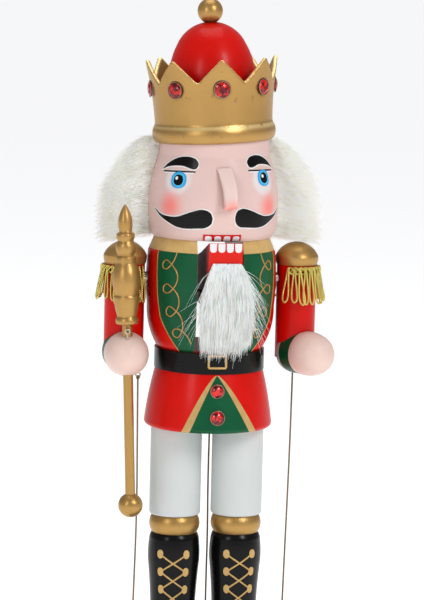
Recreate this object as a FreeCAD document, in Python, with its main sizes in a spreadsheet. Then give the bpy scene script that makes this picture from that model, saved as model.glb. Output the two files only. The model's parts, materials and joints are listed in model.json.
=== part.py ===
"""Wooden nutcracker figure with a crown, a sceptre and a jaw worked by a lever.

Millimetres, +Z up. The figure faces -Y and stands on z = 0; the origin is under its middle.
Left and right are the figure's own, so its left side is +X. Every size is a cell of the
sheet "Sizes", and each piece is tied to those cells.
"""
import FreeCAD, Part
import math
import os
import re

import Sketcher
from FreeCAD import Vector

SIZES = {
    # gaps: glued joints, sliding and turning fits, free room
    "glue_gap": 0.1, "running_gap": 0.05, "bore_spare": 0.5, "side_gap": 0.4,
    # plinth, shoes and the screws that hold them
    "base_width": 96, "base_depth": 80, "base_height": 14, "base_back": 36,
    "base_corner": 6, "base_bevel": 2,
    "shoe_half_width": 13.5, "shoe_heel": 14, "shoe_toe": 35, "shoe_instep": 15,
    "shoe_height": 16, "shoe_toe_height": 7, "shoe_toe_rise": 1.6, "shoe_corner": 9,
    "screw_recess": 0.8, "screw_head": 4, "screw_head_height": 3, "screw_shank": 2,
    "screw_length": 38,
    # boots, knee rings and legs, and the dowels inside them
    "leg_spread": 17.2, "boot_ankle": 12.2, "boot_calf": 14.3, "boot_top": 12.6,
    "boot_calf_level": 38.5, "boot_cuff": 13.9, "boot_cuff_level": 50, "boot_height": 54,
    "boot_hollow": -0.5, "boot_cuff_rise": 0.25, "boot_top_rise": 0.3,
    "knee_neck": 12.3, "knee_rise": 1.7, "knee_height": 10.3,
    "leg_radius": 14.2, "leg_round": 1.4, "leg_height": 50.2,
    "dowel_radius": 3.5, "dowel_depth": 14, "hip_dowel_depth": 12,
    # coat and belt
    "coat_height": 31.8, "coat_hem": 35.2, "coat_hem_round": 2.5, "coat_waist": 29.7,
    "coat_rise": 0.5, "belt_radius": 30.3, "belt_height": 11.2,
    "spigot_radius": 24, "spigot_depth": 8,
    "jewel_lower": 3.9, "jewel_lower_level": 8.7, "jewel_upper": 3.65, "jewel_upper_level": 22.9,
    "jewel_height": 2.6, "jewel_girdle": 1, "jewel_table": 0.55, "jewel_seat": 1.2,
    "jewel_sunk": 0.72,
    # torso, its slot and pins
    "torso_height": 61.5, "torso_waist": 28.8, "torso_chest": 35, "torso_collar": 34.9,
    "torso_neck": 31.6, "torso_chest_level": 23.5, "torso_collar_level": 53.5,
    "torso_waist_rise": 1.8, "torso_chest_rise": 0.8,
    "slot_half": 12.5, "slot_floor": 1.2,
    "neck_dowel_spread": 22, "neck_dowel_radius": 3, "neck_dowel_depth": 12,
    "jaw_pin_radius": 2, "jaw_pin_half": 33, "jaw_pin_forward": 6, "jaw_pin_level": 30.5,
    # jaw board and beard, measured from the jaw pin
    "jaw_left_gap": 1.3, "jaw_right_gap": 5.3, "jaw_front": 31, "jaw_front_top": 30.7,
    "jaw_front_low": 5, "jaw_top_back": 4, "jaw_top": 23, "tail_start": 42,
    "tail_top": 13, "tail_low": 7, "tail_reach": 66, "tail_end_top": 8.5,
    "tail_end_low": 3.5, "tail_round": 2.5,
    "beard_offset": 1.2, "beard_top": 20, "beard_top_half": 9.8, "beard_wide_level": 18,
    "beard_wide_half": 17.5, "beard_low": 28, "beard_low_half": 12, "beard_tip_rise": 2.5,
    "beard_thickness": 9, "beard_round": 3,
    # head, nose and hair
    "head_height": 52.5, "head_foot": 32.2, "head_foot_level": 6, "head_foot_round": 0.9,
    "head_jowl": 35, "head_brow": 35.2, "head_brow_level": 26.6, "head_face_rise": 0.6,
    "head_temple": 30.7, "head_temple_level": 45, "head_temple_rise": 0.3, "head_top": 30,
    "seat_spare": 4,
    "nose_half": 3.5, "nose_level": 40, "nose_shift": 0.4, "nose_root": 33, "nose_crook": 7,
    "nose_reach": 9.5, "nose_tip_low": 22.5, "nose_foot_reach": 8, "nose_foot_low": 25,
    "nose_sunk": 4, "nose_round": 1.2,
    "hair_half_width": 61, "hair_half_depth": 44, "hair_half_height": 50, "hair_back": 13,
    "hair_centre_level": 13, "hair_bottom_level": -1, "hair_top_level": 51, "hair_front": 5,
    "hair_gap": 0.2,
    # crown, measured from its seat on the head
    "crown_tilt": 3.2, "crown_ring": 33.8, "crown_ring_height": 9.5, "crown_ring_round": 1.6,
    "crown_foot": 32.1, "crown_tip": 36.5, "crown_height": 45.2, "crown_flare": -0.9,
    "crown_wall": 2.5, "crown_inner_ring": 24.2, "crown_points": 8, "crown_valley": 32.6,
    "crown_notch_half": 13.2, "crown_jewel": 4.5, "crown_jewel_level": 29.3,
    "crown_jewel_dip": 0.81, "notch_spare": 4,
    "dome_radius": 23.5, "dome_wide_level": 34, "dome_shoulder": 18.8,
    "dome_shoulder_level": 52.2, "dome_side_rise": 1.19, "dome_height": 64.4,
    "ball_radius": 6.9, "ball_centre": 70.2,
    "ball_dowel_radius": 2, "ball_dowel_length": 14, "crown_dowel_radius": 4,
    "crown_dowel_depth": 12,
    # arms
    "arm_spread": 47.7, "arm_radius": 10.9, "arm_bottom": 182, "arm_top": 233.6,
    "shoulder_level": 226, "shoulder_pin_radius": 3, "shoulder_pin_start": 24,
    "epaulette_foot": 11.2, "epaulette_radius": 11.9, "epaulette_level": 4.4,
    "epaulette_height": 12.5, "epaulette_rise": 0.2,
    "braid_radius": 12.6, "braid_height": 5, "braid_flare": 13.2, "braid_inside": 6,
    "fringe_drop": 22.4, "fringe_flare": 16.6,
    "fringe_depth": 2.2, "fringe_side": 36.3, "fringe_skin": 0.3,
    "hand_level": 185.3, "hand_back": 1.8, "cuff_pale": 3.3, "cuff_end": 10.1, "hand_radius": 12,
    "hand_back_radius": 11.4, "hand_tip": 29, "hand_bulge_level": 22.6, "hand_bulge": 10.2,
    "hand_bulge_rise": 0.85, "left_hand_yaw": 27, "right_hand_yaw": 0,
    "wrist_dowel_radius": 2, "wrist_dowel_length": 14, "wrist_dowel_start": -7,
    # sceptre, measured from the grip along its own axis
    "sceptre_reach": 19.4, "sceptre_tilt": 2.2, "shaft_radius": 2.7, "shaft_end": -84.3,
    "shaft_top": 21.8, "sceptre_ball_radius": 6.7, "sceptre_ball_level": -82.6,
    "finial_room": 2, "finial_foot": 17.3, "finial_ring": 5.8, "finial_ring_top": 20.9,
    "finial_ring_rise": 0.5, "vase_foot": 5.2, "vase_level": 21.2, "vase_top": 7,
    "vase_top_level": 32.4, "vase_rise": 0.4, "groove_level": 33, "groove": 6.3,
    "bulb_level": 33.6, "bulb_end": 50.6, "bulb_rise": 1.9, "finial_collar": 5.35,
    "collar_end": 54.2, "collar_rise": 0.15, "small_bulb": 3.7, "small_bulb_end": 63.4,
    "small_bulb_rise": 1.8, "tip_ring": 4.7, "tip_ring_end": 66.9, "tip_ring_rise": 0.3,
    "tip_foot": 3.3, "tip_swell": 3.9, "tip_swell_level": 73.2, "tip_swell_rise": 0.2,
    "tip_end": 82.5, "tip_rise": 0.6, "tip_radius": 0.3,
    # screw eyes and cords
    "eye_ring": 1.2, "eye_wire": 0.45, "eye_shank": 5, "eye_stand": 1.7, "cord_radius": 0.5,
    "hand_eye_place": 24, "hand_eye_shift": 0.9, "hand_eye_level": 12,
    "left_eye_side": 0.3, "left_eye_place": 5, "right_eye_place": 8, "right_eye_side": 7.3,
    "right_eye_level": 10.6,
    "coat_eye_side": 1.6, "coat_eye_place": 2.5,
}

# Routes of the hanging cords, from under the screw eye down to the loose end
LEFT_CORD = [(48, 5, -3.4), (47.7, 4.7, -39), (47.0, 4.9, -79), (45.9, 4.5, -124), (45.2, 4.7, -162)]
RIGHT_CORD = [(-40.4, -8, -3.4), (-40.0, -8.1, -38), (-39.4, -7.9, -75), (-40.2, -8.2, -118),
              (-41.2, -8, -156)]
COAT_CORD = [(1.6, 2.5, -3.4), (1.4, 2.6, -32), (1.9, 2.4, -62), (1.6, 2.6, -96), (1.8, 2.5, -125)]

# Levels of the joints between the stacked pieces, from the floor up
SHOE_FOOT = "base_height"
BOOT_FOOT = SHOE_FOOT + " + shoe_height"
KNEE_FOOT = BOOT_FOOT + " + boot_height"
LEG_FOOT = KNEE_FOOT + " + knee_height"
COAT_FOOT = LEG_FOOT + " + leg_height"
BELT_FOOT = COAT_FOOT + " + coat_height"
TORSO_FOOT = BELT_FOOT + " + belt_height"
HEAD_FOOT = TORSO_FOOT + " + torso_height"
CROWN_SEAT = HEAD_FOOT + " + head_height"
JAW_LEVEL = TORSO_FOOT + " + jaw_pin_level"

# The jaw board between its two gaps in the slot, and the hair round the widest part of the head
JAW_HALF = "(slot_half - (jaw_left_gap + jaw_right_gap) / 2)"
JAW_OFFSET = "(jaw_right_gap - jaw_left_gap) / 2"
HAIR_INNER = "head_brow + head_face_rise + hair_gap"

UPRIGHT = "rotation(vector(0; 0; 1); 0)"
UPSIDE_DOWN = "rotation(vector(1; 0; 0); 180)"
FORWARD = "rotation(vector(1; 0; 0); 90)"
SIDEWAYS = "rotation(vector(0; 1; 0); 90)"
CROWN_TURN = "rotation(vector(0; 1; 0); 0 - crown_tilt)"
SCEPTRE_TURN = "rotation(vector(0; 1; 0); 0 - sceptre_tilt)"
SIDES = (("left", 1), ("right", -1))

doc = FreeCAD.newDocument("nutcracker")
sheet = doc.addObject("Spreadsheet::Sheet", "Sizes")
nodes = []


def fill_sheet():
    for row, (name, size) in enumerate(SIZES.items(), start=1):
        sheet.set(f"A{row}", name)
        sheet.set(f"B{row}", str(size))
        sheet.setAlias(f"B{row}", name)
    doc.recompute()


def bound(text):
    """An expression with each size's name pointed at its cell."""
    return re.sub(r"[a-z_]+", lambda word: ("Sizes." if word[0] in SIZES else "") + word[0], text)


def number(text):
    return float(sheet.evalExpression(bound(text)))


def node(piece, label):
    """Name a finished piece and list it for export."""
    piece.Label = label
    nodes.append(piece)
    return piece


def place(piece, x="0", y="0", z="0", turn=UPRIGHT):
    piece.setExpression("Placement", bound(f"placement(vector({x}; {y}; {z}); {turn})"))
    return piece


def outline(body, plane, points):
    """A closed outline on one of the body's own planes, tied to the sheet.

    A point is (across, up), or (across, up, rise) where the side that ends there is an arc
    that rises to the right of the way it is drawn.
    """
    sketch = body.newObject("Sketcher::SketchObject", "Outline")
    support = [feature for feature in body.Origin.OriginFeatures if feature.Role == plane][0]
    sketch.AttachmentSupport = [(support, "")]
    sketch.MapMode = "FlatFace"
    count = len(points)
    corners = [Vector(number(point[0]), number(point[1]), 0) for point in points]
    rises = [number(point[2]) if len(point) == 3 else 0 for point in points]
    rises = rises[1:] + rises[:1]
    for side, rise in enumerate(rises):
        start, end = corners[side], corners[(side + 1) % count]
        if rise:
            chord = end - start
            middle = (start + end) * 0.5 + Vector(chord.y, -chord.x, 0).normalize() * rise
            sketch.addGeometry(Part.Arc(start, middle, end))
        else:
            sketch.addGeometry(Part.LineSegment(start, end))
    # an arc that is drawn clockwise has its first end second in the sketch
    first = [2 if rise < 0 else 1 for rise in rises]
    for side, rise in enumerate(rises):
        after = (side + 1) % count
        last = 3 - first[side]
        sketch.addConstraint(Sketcher.Constraint("Coincident", side, last, after, first[after]))
        tie_point(sketch, side, first[side], points[side])
        if rise:
            tie_middle(sketch, side, points[side], points[after])
    return sketch


def tie_point(sketch, side, end, point):
    for kind, text, axis in (("DistanceX", point[0], -2), ("DistanceY", point[1], -1)):
        if number(text) == 0:
            sketch.addConstraint(Sketcher.Constraint("PointOnObject", side, end, axis))
            continue
        index = sketch.addConstraint(Sketcher.Constraint(kind, -1, 1, side, end, number(text)))
        sketch.setExpression(f"Constraints[{index}]", bound(text))


def tie_middle(sketch, side, start, end):
    """Hold an arc to the point at its middle, which stands off its chord by the rise."""
    across, up = f"(({end[0]}) - ({start[0]}))", f"(({end[1]}) - ({start[1]}))"
    share = f"({end[2]}) / sqrt({across}^2 + {up}^2)"
    middle = (f"(({start[0]}) + ({end[0]})) / 2 + {up} * {share}",
              f"(({start[1]}) + ({end[1]})) / 2 - {across} * {share}")
    spot = sketch.addGeometry(Part.Point(Vector(number(middle[0]), number(middle[1]), 0)), True)
    sketch.addConstraint(Sketcher.Constraint("PointOnObject", spot, 1, side))
    tie_point(sketch, spot, 1, middle)


def turned(points):
    """A piece turned about its own upright axis; points are (radius, height)."""
    body = doc.addObject("PartDesign::Body", "Turned")
    sketch = outline(body, "XZ_Plane", points)
    spin = body.newObject("PartDesign::Revolution", "Turning")
    spin.Profile = sketch
    spin.ReferenceAxis = (sketch, ["V_Axis"])
    spin.Angle = 360
    doc.recompute()
    return body


def sawn(plane, points, thickness, midplane=True):
    """A piece sawn from a board to an outline."""
    body = doc.addObject("PartDesign::Body", "Sawn")
    sketch = outline(body, plane, points)
    pad = body.newObject("PartDesign::Pad", "Board")
    pad.Profile = sketch
    pad.SideType = "Symmetric" if midplane else "One side"
    pad.setExpression("Length", bound(thickness))
    doc.recompute()
    return body


def dressed(body, kind, size, chosen):
    """Round ("Fillet") or bevel ("Chamfer") the edges that the test picks."""
    tip = body.Tip
    picked = [f"Edge{i}" for i, edge in enumerate(tip.Shape.Edges, start=1) if chosen(edge)]
    dress = body.newObject(f"PartDesign::{kind}", kind)
    dress.Base = (tip, picked)
    dress.setExpression("Radius" if kind == "Fillet" else "Size", bound(size))
    doc.recompute()
    return body


def upright_edge(edge):
    box = edge.BoundBox
    return box.ZLength > 1 and box.XLength < 1e-3 and box.YLength < 1e-3


def rod(radius, length, x="0", y="0", z="0", turn=UPRIGHT):
    cylinder = doc.addObject("Part::Cylinder", "Rod")
    cylinder.setExpression("Radius", bound(radius))
    cylinder.setExpression("Height", bound(length))
    return place(cylinder, x, y, z, turn)


def block(width, depth, height, x="0", y="0", z="0", turn=UPRIGHT):
    box = doc.addObject("Part::Box", "Block")
    for side, text in (("Length", width), ("Width", depth), ("Height", height)):
        box.setExpression(side, bound(text))
    return place(box, x, y, z, turn)


def joined(*pieces):
    fuse = doc.addObject("Part::MultiFuse", "Joined")
    fuse.Shapes = list(pieces)
    return fuse


def less(blank, *tools):
    """The blank with every tool cut out of it."""
    cut = doc.addObject("Part::Cut", "Cut")
    cut.Base = blank
    cut.Tool = tools[0] if len(tools) == 1 else joined(*tools)
    doc.recompute()
    return cut


def group(*pieces):
    compound = doc.addObject("Part::Compound", "Group")
    compound.Links = list(pieces)
    return compound


def cap(radius, height):
    """The rise of an arc that closes a turned end as part of a ball, centred on the axis."""
    ball = f"((({radius})^2 + ({height})^2) / (2 * ({height})))"
    return f"({ball} - sqrt({ball}^2 - (({radius})^2 + ({height})^2) / 4))"


# ---- plinth, shoes and legs ----

def screw(x, extra="0"):
    """A countersunk screw standing head down; extra makes it the hole for one."""
    head = doc.addObject("Part::Cone", "ScrewHead")
    head.setExpression("Radius1", bound(f"screw_head + {extra}"))
    head.setExpression("Radius2", bound(f"screw_shank + {extra}"))
    head.setExpression("Height", bound("screw_head_height"))
    place(head, x=x, z="screw_recess")
    shank = rod(f"screw_shank + {extra}", f"screw_length + 4 * {extra}", x=x,
                z="screw_recess + screw_head_height")
    if extra == "0":
        return joined(head, shank)
    mouth = rod(f"screw_head + {extra}", "screw_recess", x=x)
    return joined(head, shank, mouth)


def make_base():
    half, back, front = "base_width / 2", "base_back", "base_back - base_depth"
    corners = [(f"0 - {half}", front), (half, front), (half, back), (f"0 - {half}", back)]
    plate = sawn("XY_Plane", corners, "base_height", midplane=False)
    dressed(plate, "Fillet", "base_corner", upright_edge)
    top = number("base_height")
    dressed(plate, "Chamfer", "base_bevel", lambda edge: edge.BoundBox.ZMin > top - 1e-3)
    spots = [f"{sign} * leg_spread" for _, sign in SIDES]
    node(less(plate, *[screw(x, "glue_gap") for x in spots]), "base_plate")
    node(group(*[screw(x) for x in spots]), "base_screws")


def make_shoe(side, x):
    points = [("0 - shoe_toe", "0"), ("shoe_heel", "0"), ("shoe_heel", "shoe_height"),
              ("0 - shoe_instep", "shoe_height"), ("0 - shoe_toe", "shoe_toe_height", "shoe_toe_rise")]
    shoe = sawn("YZ_Plane", points, "2 * shoe_half_width")
    dressed(shoe, "Fillet", "shoe_corner", upright_edge)
    place(shoe, x=x, z=SHOE_FOOT)
    node(less(shoe, screw(x, "glue_gap")), f"{side}_shoe")


def make_boot(side, x):
    blank = turned([("0", "0"), ("boot_ankle", "0"), ("boot_calf", "boot_calf_level", "boot_hollow"),
                    ("boot_cuff", "boot_cuff_level", "boot_cuff_rise"),
                    ("boot_top", "boot_height", "boot_top_rise"), ("0", "boot_height")])
    place(blank, x=x, z=BOOT_FOOT)
    dowel_bore = rod("dowel_radius + glue_gap", "2 * dowel_depth", x=x,
                     z=f"{KNEE_FOOT} - dowel_depth - bore_spare")
    node(less(blank, screw(x, "glue_gap"), dowel_bore), f"{side}_boot")


def make_leg(side, x):
    knee = turned([("0", "0"), ("knee_neck", "0"), ("knee_neck", "knee_height", "knee_rise"),
                   ("0", "knee_height")])
    place(knee, x=x, z=KNEE_FOOT)
    through = rod("dowel_radius + glue_gap", "knee_height + 2 * dowel_depth + 2 * bore_spare", x=x,
                  z=f"{KNEE_FOOT} - dowel_depth - bore_spare")
    node(less(knee, through), f"{side}_knee_ring")
    leg = turned([("0", "0"), ("leg_radius - leg_round", "0"),
                  ("leg_radius", "leg_round", "0.29 * leg_round"), ("leg_radius", "leg_height"),
                  ("0", "leg_height")])
    place(leg, x=x, z=LEG_FOOT)
    node(less(leg, through, hip_bore(x)), f"{side}_leg")
    node(rod("dowel_radius", "knee_height + 2 * dowel_depth", x=x, z=f"{KNEE_FOOT} - dowel_depth"),
         f"{side}_leg_dowel")
    node(rod("dowel_radius", "dowel_depth + hip_dowel_depth", x=x, z=f"{COAT_FOOT} - dowel_depth"),
         f"{side}_hip_dowel")


def hip_bore(x):
    return rod("dowel_radius + glue_gap", "dowel_depth + hip_dowel_depth + 2 * bore_spare", x=x,
               z=f"{COAT_FOOT} - dowel_depth - bore_spare")


# ---- coat, belt and torso ----

def jewel(radius, height, girdle, table):
    """An eight-sided stone lying flat: a straight girdle, then a bevel up to the table."""
    rings = []
    for level, reach in ((0, radius), (girdle, radius), (height, radius * table)):
        corner = [FreeCAD.Rotation(Vector(0, 0, 1), 45 * (i + 0.5)).multVec(Vector(reach, 0, level))
                  for i in range(8)]
        rings.append(Part.makePolygon(corner + corner[:1]))
    lower = Part.makeLoft(rings[:2], True, True)
    upper = Part.makeLoft(rings[1:], True, True)
    return lower.fuse(upper).removeSplitter()


def stones(label, places):
    """One node of separate stones; places are (radius, placement)."""
    shapes = []
    for radius, placement in places:
        stone = jewel(radius, number("jewel_height"), number("jewel_girdle"), number("jewel_table"))
        stone.Placement = placement
        shapes.append(stone)
    piece = doc.addObject("Part::Feature", "Stones")
    piece.Shape = Part.makeCompound(shapes)
    node(piece, label)


def make_coat():
    blank = turned([("0", "0"), ("coat_hem - 0.5 * coat_hem_round", "0"),
                    ("coat_hem", "coat_hem_round", "0.2 * coat_hem_round"),
                    ("coat_waist", "coat_height", "coat_rise"), ("0", "coat_height")])
    place(blank, z=COAT_FOOT)
    socket = rod("spigot_radius + glue_gap", "spigot_depth + belt_height",
                 z=f"{BELT_FOOT} - spigot_depth - bore_spare")
    eye_bore = rod("eye_wire + glue_gap", "eye_shank + bore_spare", x="coat_eye_side",
                   y="coat_eye_place", z=COAT_FOOT)
    tools = [socket, eye_bore] + [hip_bore(f"{sign} * leg_spread") for _, sign in SIDES]
    places = []
    for name in ("lower", "upper"):
        level = f"jewel_{name}_level"
        seat = f"coat_hem - (coat_hem - coat_waist) * ({level} - coat_hem_round) / (coat_height - coat_hem_round)"
        front = f"0 - ({seat}) + jewel_seat - coat_rise"
        tools.append(rod(f"jewel_{name} + glue_gap", "4 * jewel_seat", y=front, z=f"{COAT_FOOT} + {level}",
                         turn=FORWARD))
        middle = Vector(0, number(front), number(f"{COAT_FOOT} + {level}"))
        places.append((number(f"jewel_{name}"), FreeCAD.Placement(middle, FreeCAD.Rotation(Vector(1, 0, 0), 90))))
    node(less(blank, *tools), "coat_skirt")
    stones("coat_jewels", places)
    hoop = turned([("spigot_radius + glue_gap", "0"), ("belt_radius", "0"), ("belt_radius", "belt_height"),
                   ("spigot_radius + glue_gap", "belt_height")])
    node(place(hoop, z=BELT_FOOT), "belt")


def make_torso():
    spigot_foot = "0 - belt_height - spigot_depth"
    body = turned([("0", spigot_foot), ("spigot_radius", spigot_foot), ("spigot_radius", "0"),
                   ("torso_waist", "0"), ("torso_chest", "torso_chest_level", "torso_waist_rise"),
                   ("torso_collar", "torso_collar_level", "torso_chest_rise"),
                   ("torso_neck", "torso_height"), ("0", "torso_height")])
    slot = outline(body, "XZ_Plane", [("0 - slot_half", "slot_floor"), ("slot_half", "slot_floor"),
                                      ("slot_half", "2 * torso_height"), ("0 - slot_half", "2 * torso_height")])
    saw = body.newObject("PartDesign::Pocket", "JawSlot")
    saw.Profile = slot
    saw.Type = "ThroughAll"
    saw.SideType = "Symmetric"
    doc.recompute()
    place(body, z=TORSO_FOOT)
    pin_bore = rod("jaw_pin_radius + running_gap", "4 * torso_chest", x="0 - 2 * torso_chest",
                   y="0 - jaw_pin_forward", z=JAW_LEVEL, turn=SIDEWAYS)
    tools = [pin_bore]
    for _, sign in SIDES:
        tools.append(neck_bore(sign))
        tools.append(rod("shoulder_pin_radius + glue_gap", "2 * torso_chest", z="shoulder_level",
                         x=f"{sign} * (shoulder_pin_start - bore_spare)",
                         turn=f"rotation(vector(0; 1; 0); {sign * 90})"))
    node(less(body, *tools), "torso")
    node(rod("jaw_pin_radius", "2 * jaw_pin_half", x="0 - jaw_pin_half", y="0 - jaw_pin_forward", z=JAW_LEVEL,
             turn=SIDEWAYS), "jaw_pin")
    node(group(*[rod("neck_dowel_radius", "2 * neck_dowel_depth", x=f"{sign} * neck_dowel_spread",
                     z=f"{HEAD_FOOT} - neck_dowel_depth") for _, sign in SIDES]), "neck_dowels")


def neck_bore(sign):
    return rod("neck_dowel_radius + glue_gap", "2 * neck_dowel_depth + 2 * bore_spare",
               x=f"{sign} * neck_dowel_spread", z=f"{HEAD_FOOT} - neck_dowel_depth - bore_spare")


def make_jaw():
    """The board that turns on the jaw pin; its tail is the lever at the back."""
    points = [("0 - jaw_front", "0 - jaw_front_low"), ("tail_start", "0 - tail_low"),
              ("tail_reach", "0 - tail_end_low"), ("tail_reach", "tail_end_top", "tail_round"),
              ("tail_start", "tail_top"), ("0 - jaw_top_back", "jaw_top"), ("0 - jaw_front", "jaw_front_top")]
    board = sawn("YZ_Plane", points, f"2 * {JAW_HALF}")
    place(board, x=JAW_OFFSET, y="0 - jaw_pin_forward", z=JAW_LEVEL)
    bore = rod("jaw_pin_radius + running_gap", "4 * slot_half", x="0 - 2 * slot_half",
               y="0 - jaw_pin_forward", z=JAW_LEVEL, turn=SIDEWAYS)
    node(less(board, bore), "jaw_lever")
    points = [("0 - beard_low_half", "0 - beard_low"), ("beard_low_half", "0 - beard_low", "beard_tip_rise"),
              ("beard_wide_half", "0 - beard_wide_level"), ("beard_top_half", "beard_top"),
              ("0 - beard_top_half", "beard_top"), ("0 - beard_wide_half", "0 - beard_wide_level")]
    beard = sawn("XZ_Plane", points, "beard_thickness", midplane=False)
    front = -number("beard_thickness")
    dressed(beard, "Chamfer", "beard_round", lambda edge: edge.BoundBox.YMax < front + 1e-3)
    place(beard, x=f"{JAW_OFFSET} + beard_offset", y="0 - jaw_pin_forward - jaw_front", z=JAW_LEVEL)
    node(beard, "beard")


# ---- head, hair and crown ----

def make_head():
    spare = "head_height + seat_spare"
    blank = turned([("0", "0"), ("head_foot", "0"), ("head_jowl", "head_foot_level", "head_foot_round"),
                    ("head_brow", "head_brow_level", "head_face_rise"),
                    ("head_temple", "head_temple_level", "head_temple_rise"), ("head_top", spare), ("0", spare)])
    place(blank, z=HEAD_FOOT)
    seat = rod("2 * crown_ring", "head_height", z=CROWN_SEAT, turn=CROWN_TURN)
    head = node(less(blank, seat, crown_dowel_bore(), *[neck_bore(sign) for _, sign in SIDES]), "head")
    points = [("nose_sunk", "0 - nose_foot_low"), ("nose_sunk", "0"), ("0", "0"),
              ("0 - nose_reach", "0 - nose_tip_low"), ("0 - nose_foot_reach", "0 - nose_foot_low")]
    wedge = sawn("YZ_Plane", points[::-1], "2 * nose_half")
    ridge = number("nose_reach")
    dressed(wedge, "Fillet", "nose_round",
            lambda edge: edge.BoundBox.YLength > 0.9 * ridge and edge.BoundBox.ZLength > 0.9 * ridge)
    place(wedge, x="nose_shift", y="0 - nose_root", z=f"{HEAD_FOOT} + nose_level",
          turn="rotation(vector(0; 1; 0); 0 - nose_crook)")
    node(less(wedge, head), "nose")
    return head


def make_hair():
    fluff = doc.addObject("Part::Ellipsoid", "Fluff")
    for axis, text in (("Radius1", "hair_half_height"), ("Radius2", "hair_half_width"),
                       ("Radius3", "hair_half_depth")):
        fluff.setExpression(axis, bound(text))
    place(fluff, y="hair_back", z=f"{HEAD_FOOT} + hair_centre_level")
    trim = block("3 * hair_half_width", "3 * hair_half_width", "hair_top_level - hair_bottom_level",
                 x="0 - 1.5 * hair_half_width", y="0 - hair_front", z=f"{HEAD_FOOT} + hair_bottom_level")
    part = doc.addObject("Part::Common", "Trimmed")
    part.Base = fluff
    part.Tool = trim
    inside = rod(HAIR_INNER, "3 * head_height", z=f"{HEAD_FOOT} - head_height")
    node(less(part, inside), "hair")


def crown_dowel_bore():
    return rod("crown_dowel_radius + glue_gap", "2 * crown_dowel_depth + 2 * bore_spare", turn=CROWN_TURN,
               x="(crown_dowel_depth + bore_spare) * sin(crown_tilt)",
               z=f"{CROWN_SEAT} - (crown_dowel_depth + bore_spare) * cos(crown_tilt)")


def on_crown(level):
    """Where a height above the seat lies on the crown's leaning axis."""
    return {"x": f"0 - ({level}) * sin(crown_tilt)", "z": f"{CROWN_SEAT} + ({level}) * cos(crown_tilt)",
            "turn": CROWN_TURN}


def make_crown():
    ring_in, ring_top = "crown_inner_ring", "crown_ring_height"
    body = turned([(ring_in, "0"), ("crown_ring - crown_ring_round", "0"),
                   ("crown_ring - crown_ring_round", ring_top, "crown_ring_round"),
                   ("crown_foot", ring_top), ("crown_tip", "crown_height", "crown_flare"),
                   ("crown_tip - crown_wall", "crown_height"),
                   ("crown_foot - crown_wall", ring_top, "0 - crown_flare"), (ring_in, ring_top)])
    high = "crown_height + notch_spare"
    wide = f"crown_notch_half * ({high} - crown_valley) / (crown_height - crown_valley)"
    notch = outline(body, "XZ_Plane", [("0", "crown_valley"), (wide, high), (f"0 - {wide}", high)])
    half_point = 180 / number("crown_points")
    notch.AttachmentOffset = FreeCAD.Placement(Vector(), FreeCAD.Rotation(Vector(0, 1, 0), half_point))
    cut = body.newObject("PartDesign::Pocket", "Notch")
    cut.Profile = notch
    cut.Type = "Length"
    cut.Reversed = True
    cut.setExpression("Length", bound("2 * crown_tip"))
    doc.recompute()
    ring = body.newObject("PartDesign::PolarPattern", "Notches")
    ring.Originals = [cut]
    ring.Axis = ([axis for axis in body.Origin.OriginFeatures if axis.Role == "Z_Axis"][0], [""])
    ring.Angle = 360
    ring.setExpression("Occurrences", bound("crown_points"))
    body.Tip = ring
    doc.recompute()
    place(body, z=CROWN_SEAT, turn=CROWN_TURN)
    seats, places = jewel_seats()
    node(less(body, *seats), "crown")
    stones("crown_jewels", places)


def jewel_seats():
    """Flat seats and stones under the crown's points, all square to the flaring wall."""
    level = number("crown_jewel_level")
    share = (level - number("crown_ring_height")) / (number("crown_height") - number("crown_ring_height"))
    flare = number("crown_tip") - number("crown_foot")
    radius = number("crown_foot") + flare * share - number("crown_jewel_dip")
    lean = FreeCAD.Placement(Vector(0, 0, number(CROWN_SEAT)),
                             FreeCAD.Rotation(Vector(0, 1, 0), -number("crown_tilt")))
    seats, places = [], []
    for point in range(int(number("crown_points"))):
        around = FreeCAD.Rotation(Vector(0, 0, 1), 360 * point / number("crown_points"))
        outward = FreeCAD.Placement(Vector(0, 0, level), around * FreeCAD.Rotation(Vector(1, 0, 0), 90))
        depth = FreeCAD.Placement(Vector(0, 0, radius - number("jewel_sunk")), FreeCAD.Rotation())
        spot = lean * outward * depth
        places.append((number("crown_jewel"), spot))
        seat = doc.addObject("Part::Cylinder", "Seat")
        seat.setExpression("Radius", bound("crown_jewel + glue_gap"))
        seat.setExpression("Height", bound("4 * jewel_seat"))
        seat.Placement = spot
        seats.append(seat)
    return seats, places


def make_dome():
    dome = turned([("0", "0"), ("dome_radius", "0"), ("dome_radius", "dome_wide_level"),
                   ("dome_shoulder", "dome_shoulder_level", "dome_side_rise"),
                   ("0", "dome_height", cap("dome_shoulder", "dome_height - dome_shoulder_level"))])
    place(dome, z=CROWN_SEAT, turn=CROWN_TURN)
    bore_foot = "ball_centre - ball_dowel_length / 2 - bore_spare"
    bore = rod("ball_dowel_radius + glue_gap", "ball_dowel_length + 2 * bore_spare", **on_crown(bore_foot))
    ball = doc.addObject("Part::Sphere", "Ball")
    ball.setExpression("Radius", bound("ball_radius"))
    place(ball, **on_crown("ball_centre"))
    node(less(dome, bore, crown_dowel_bore(), ball), "crown_dome")
    node(less(ball, bore), "crown_ball")
    node(rod("ball_dowel_radius", "ball_dowel_length", **on_crown("ball_centre - ball_dowel_length / 2")),
         "crown_ball_dowel")
    node(rod("crown_dowel_radius", "2 * crown_dowel_depth", **on_crown("0 - crown_dowel_depth")), "crown_dowel")


# ---- arms, hands and sceptre ----

def hand_turn(side):
    return f"rotation(vector(0; 0; 1); {side}_hand_yaw) * {FORWARD}"


def along_hand(side, sign, reach):
    """Where a distance ahead of the arm's axis lies on the hand's own axis."""
    return {"x": f"{sign} * arm_spread + ({reach}) * sin({side}_hand_yaw)",
            "y": f"0 - ({reach}) * cos({side}_hand_yaw)", "z": "hand_level", "turn": hand_turn(side)}


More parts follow.
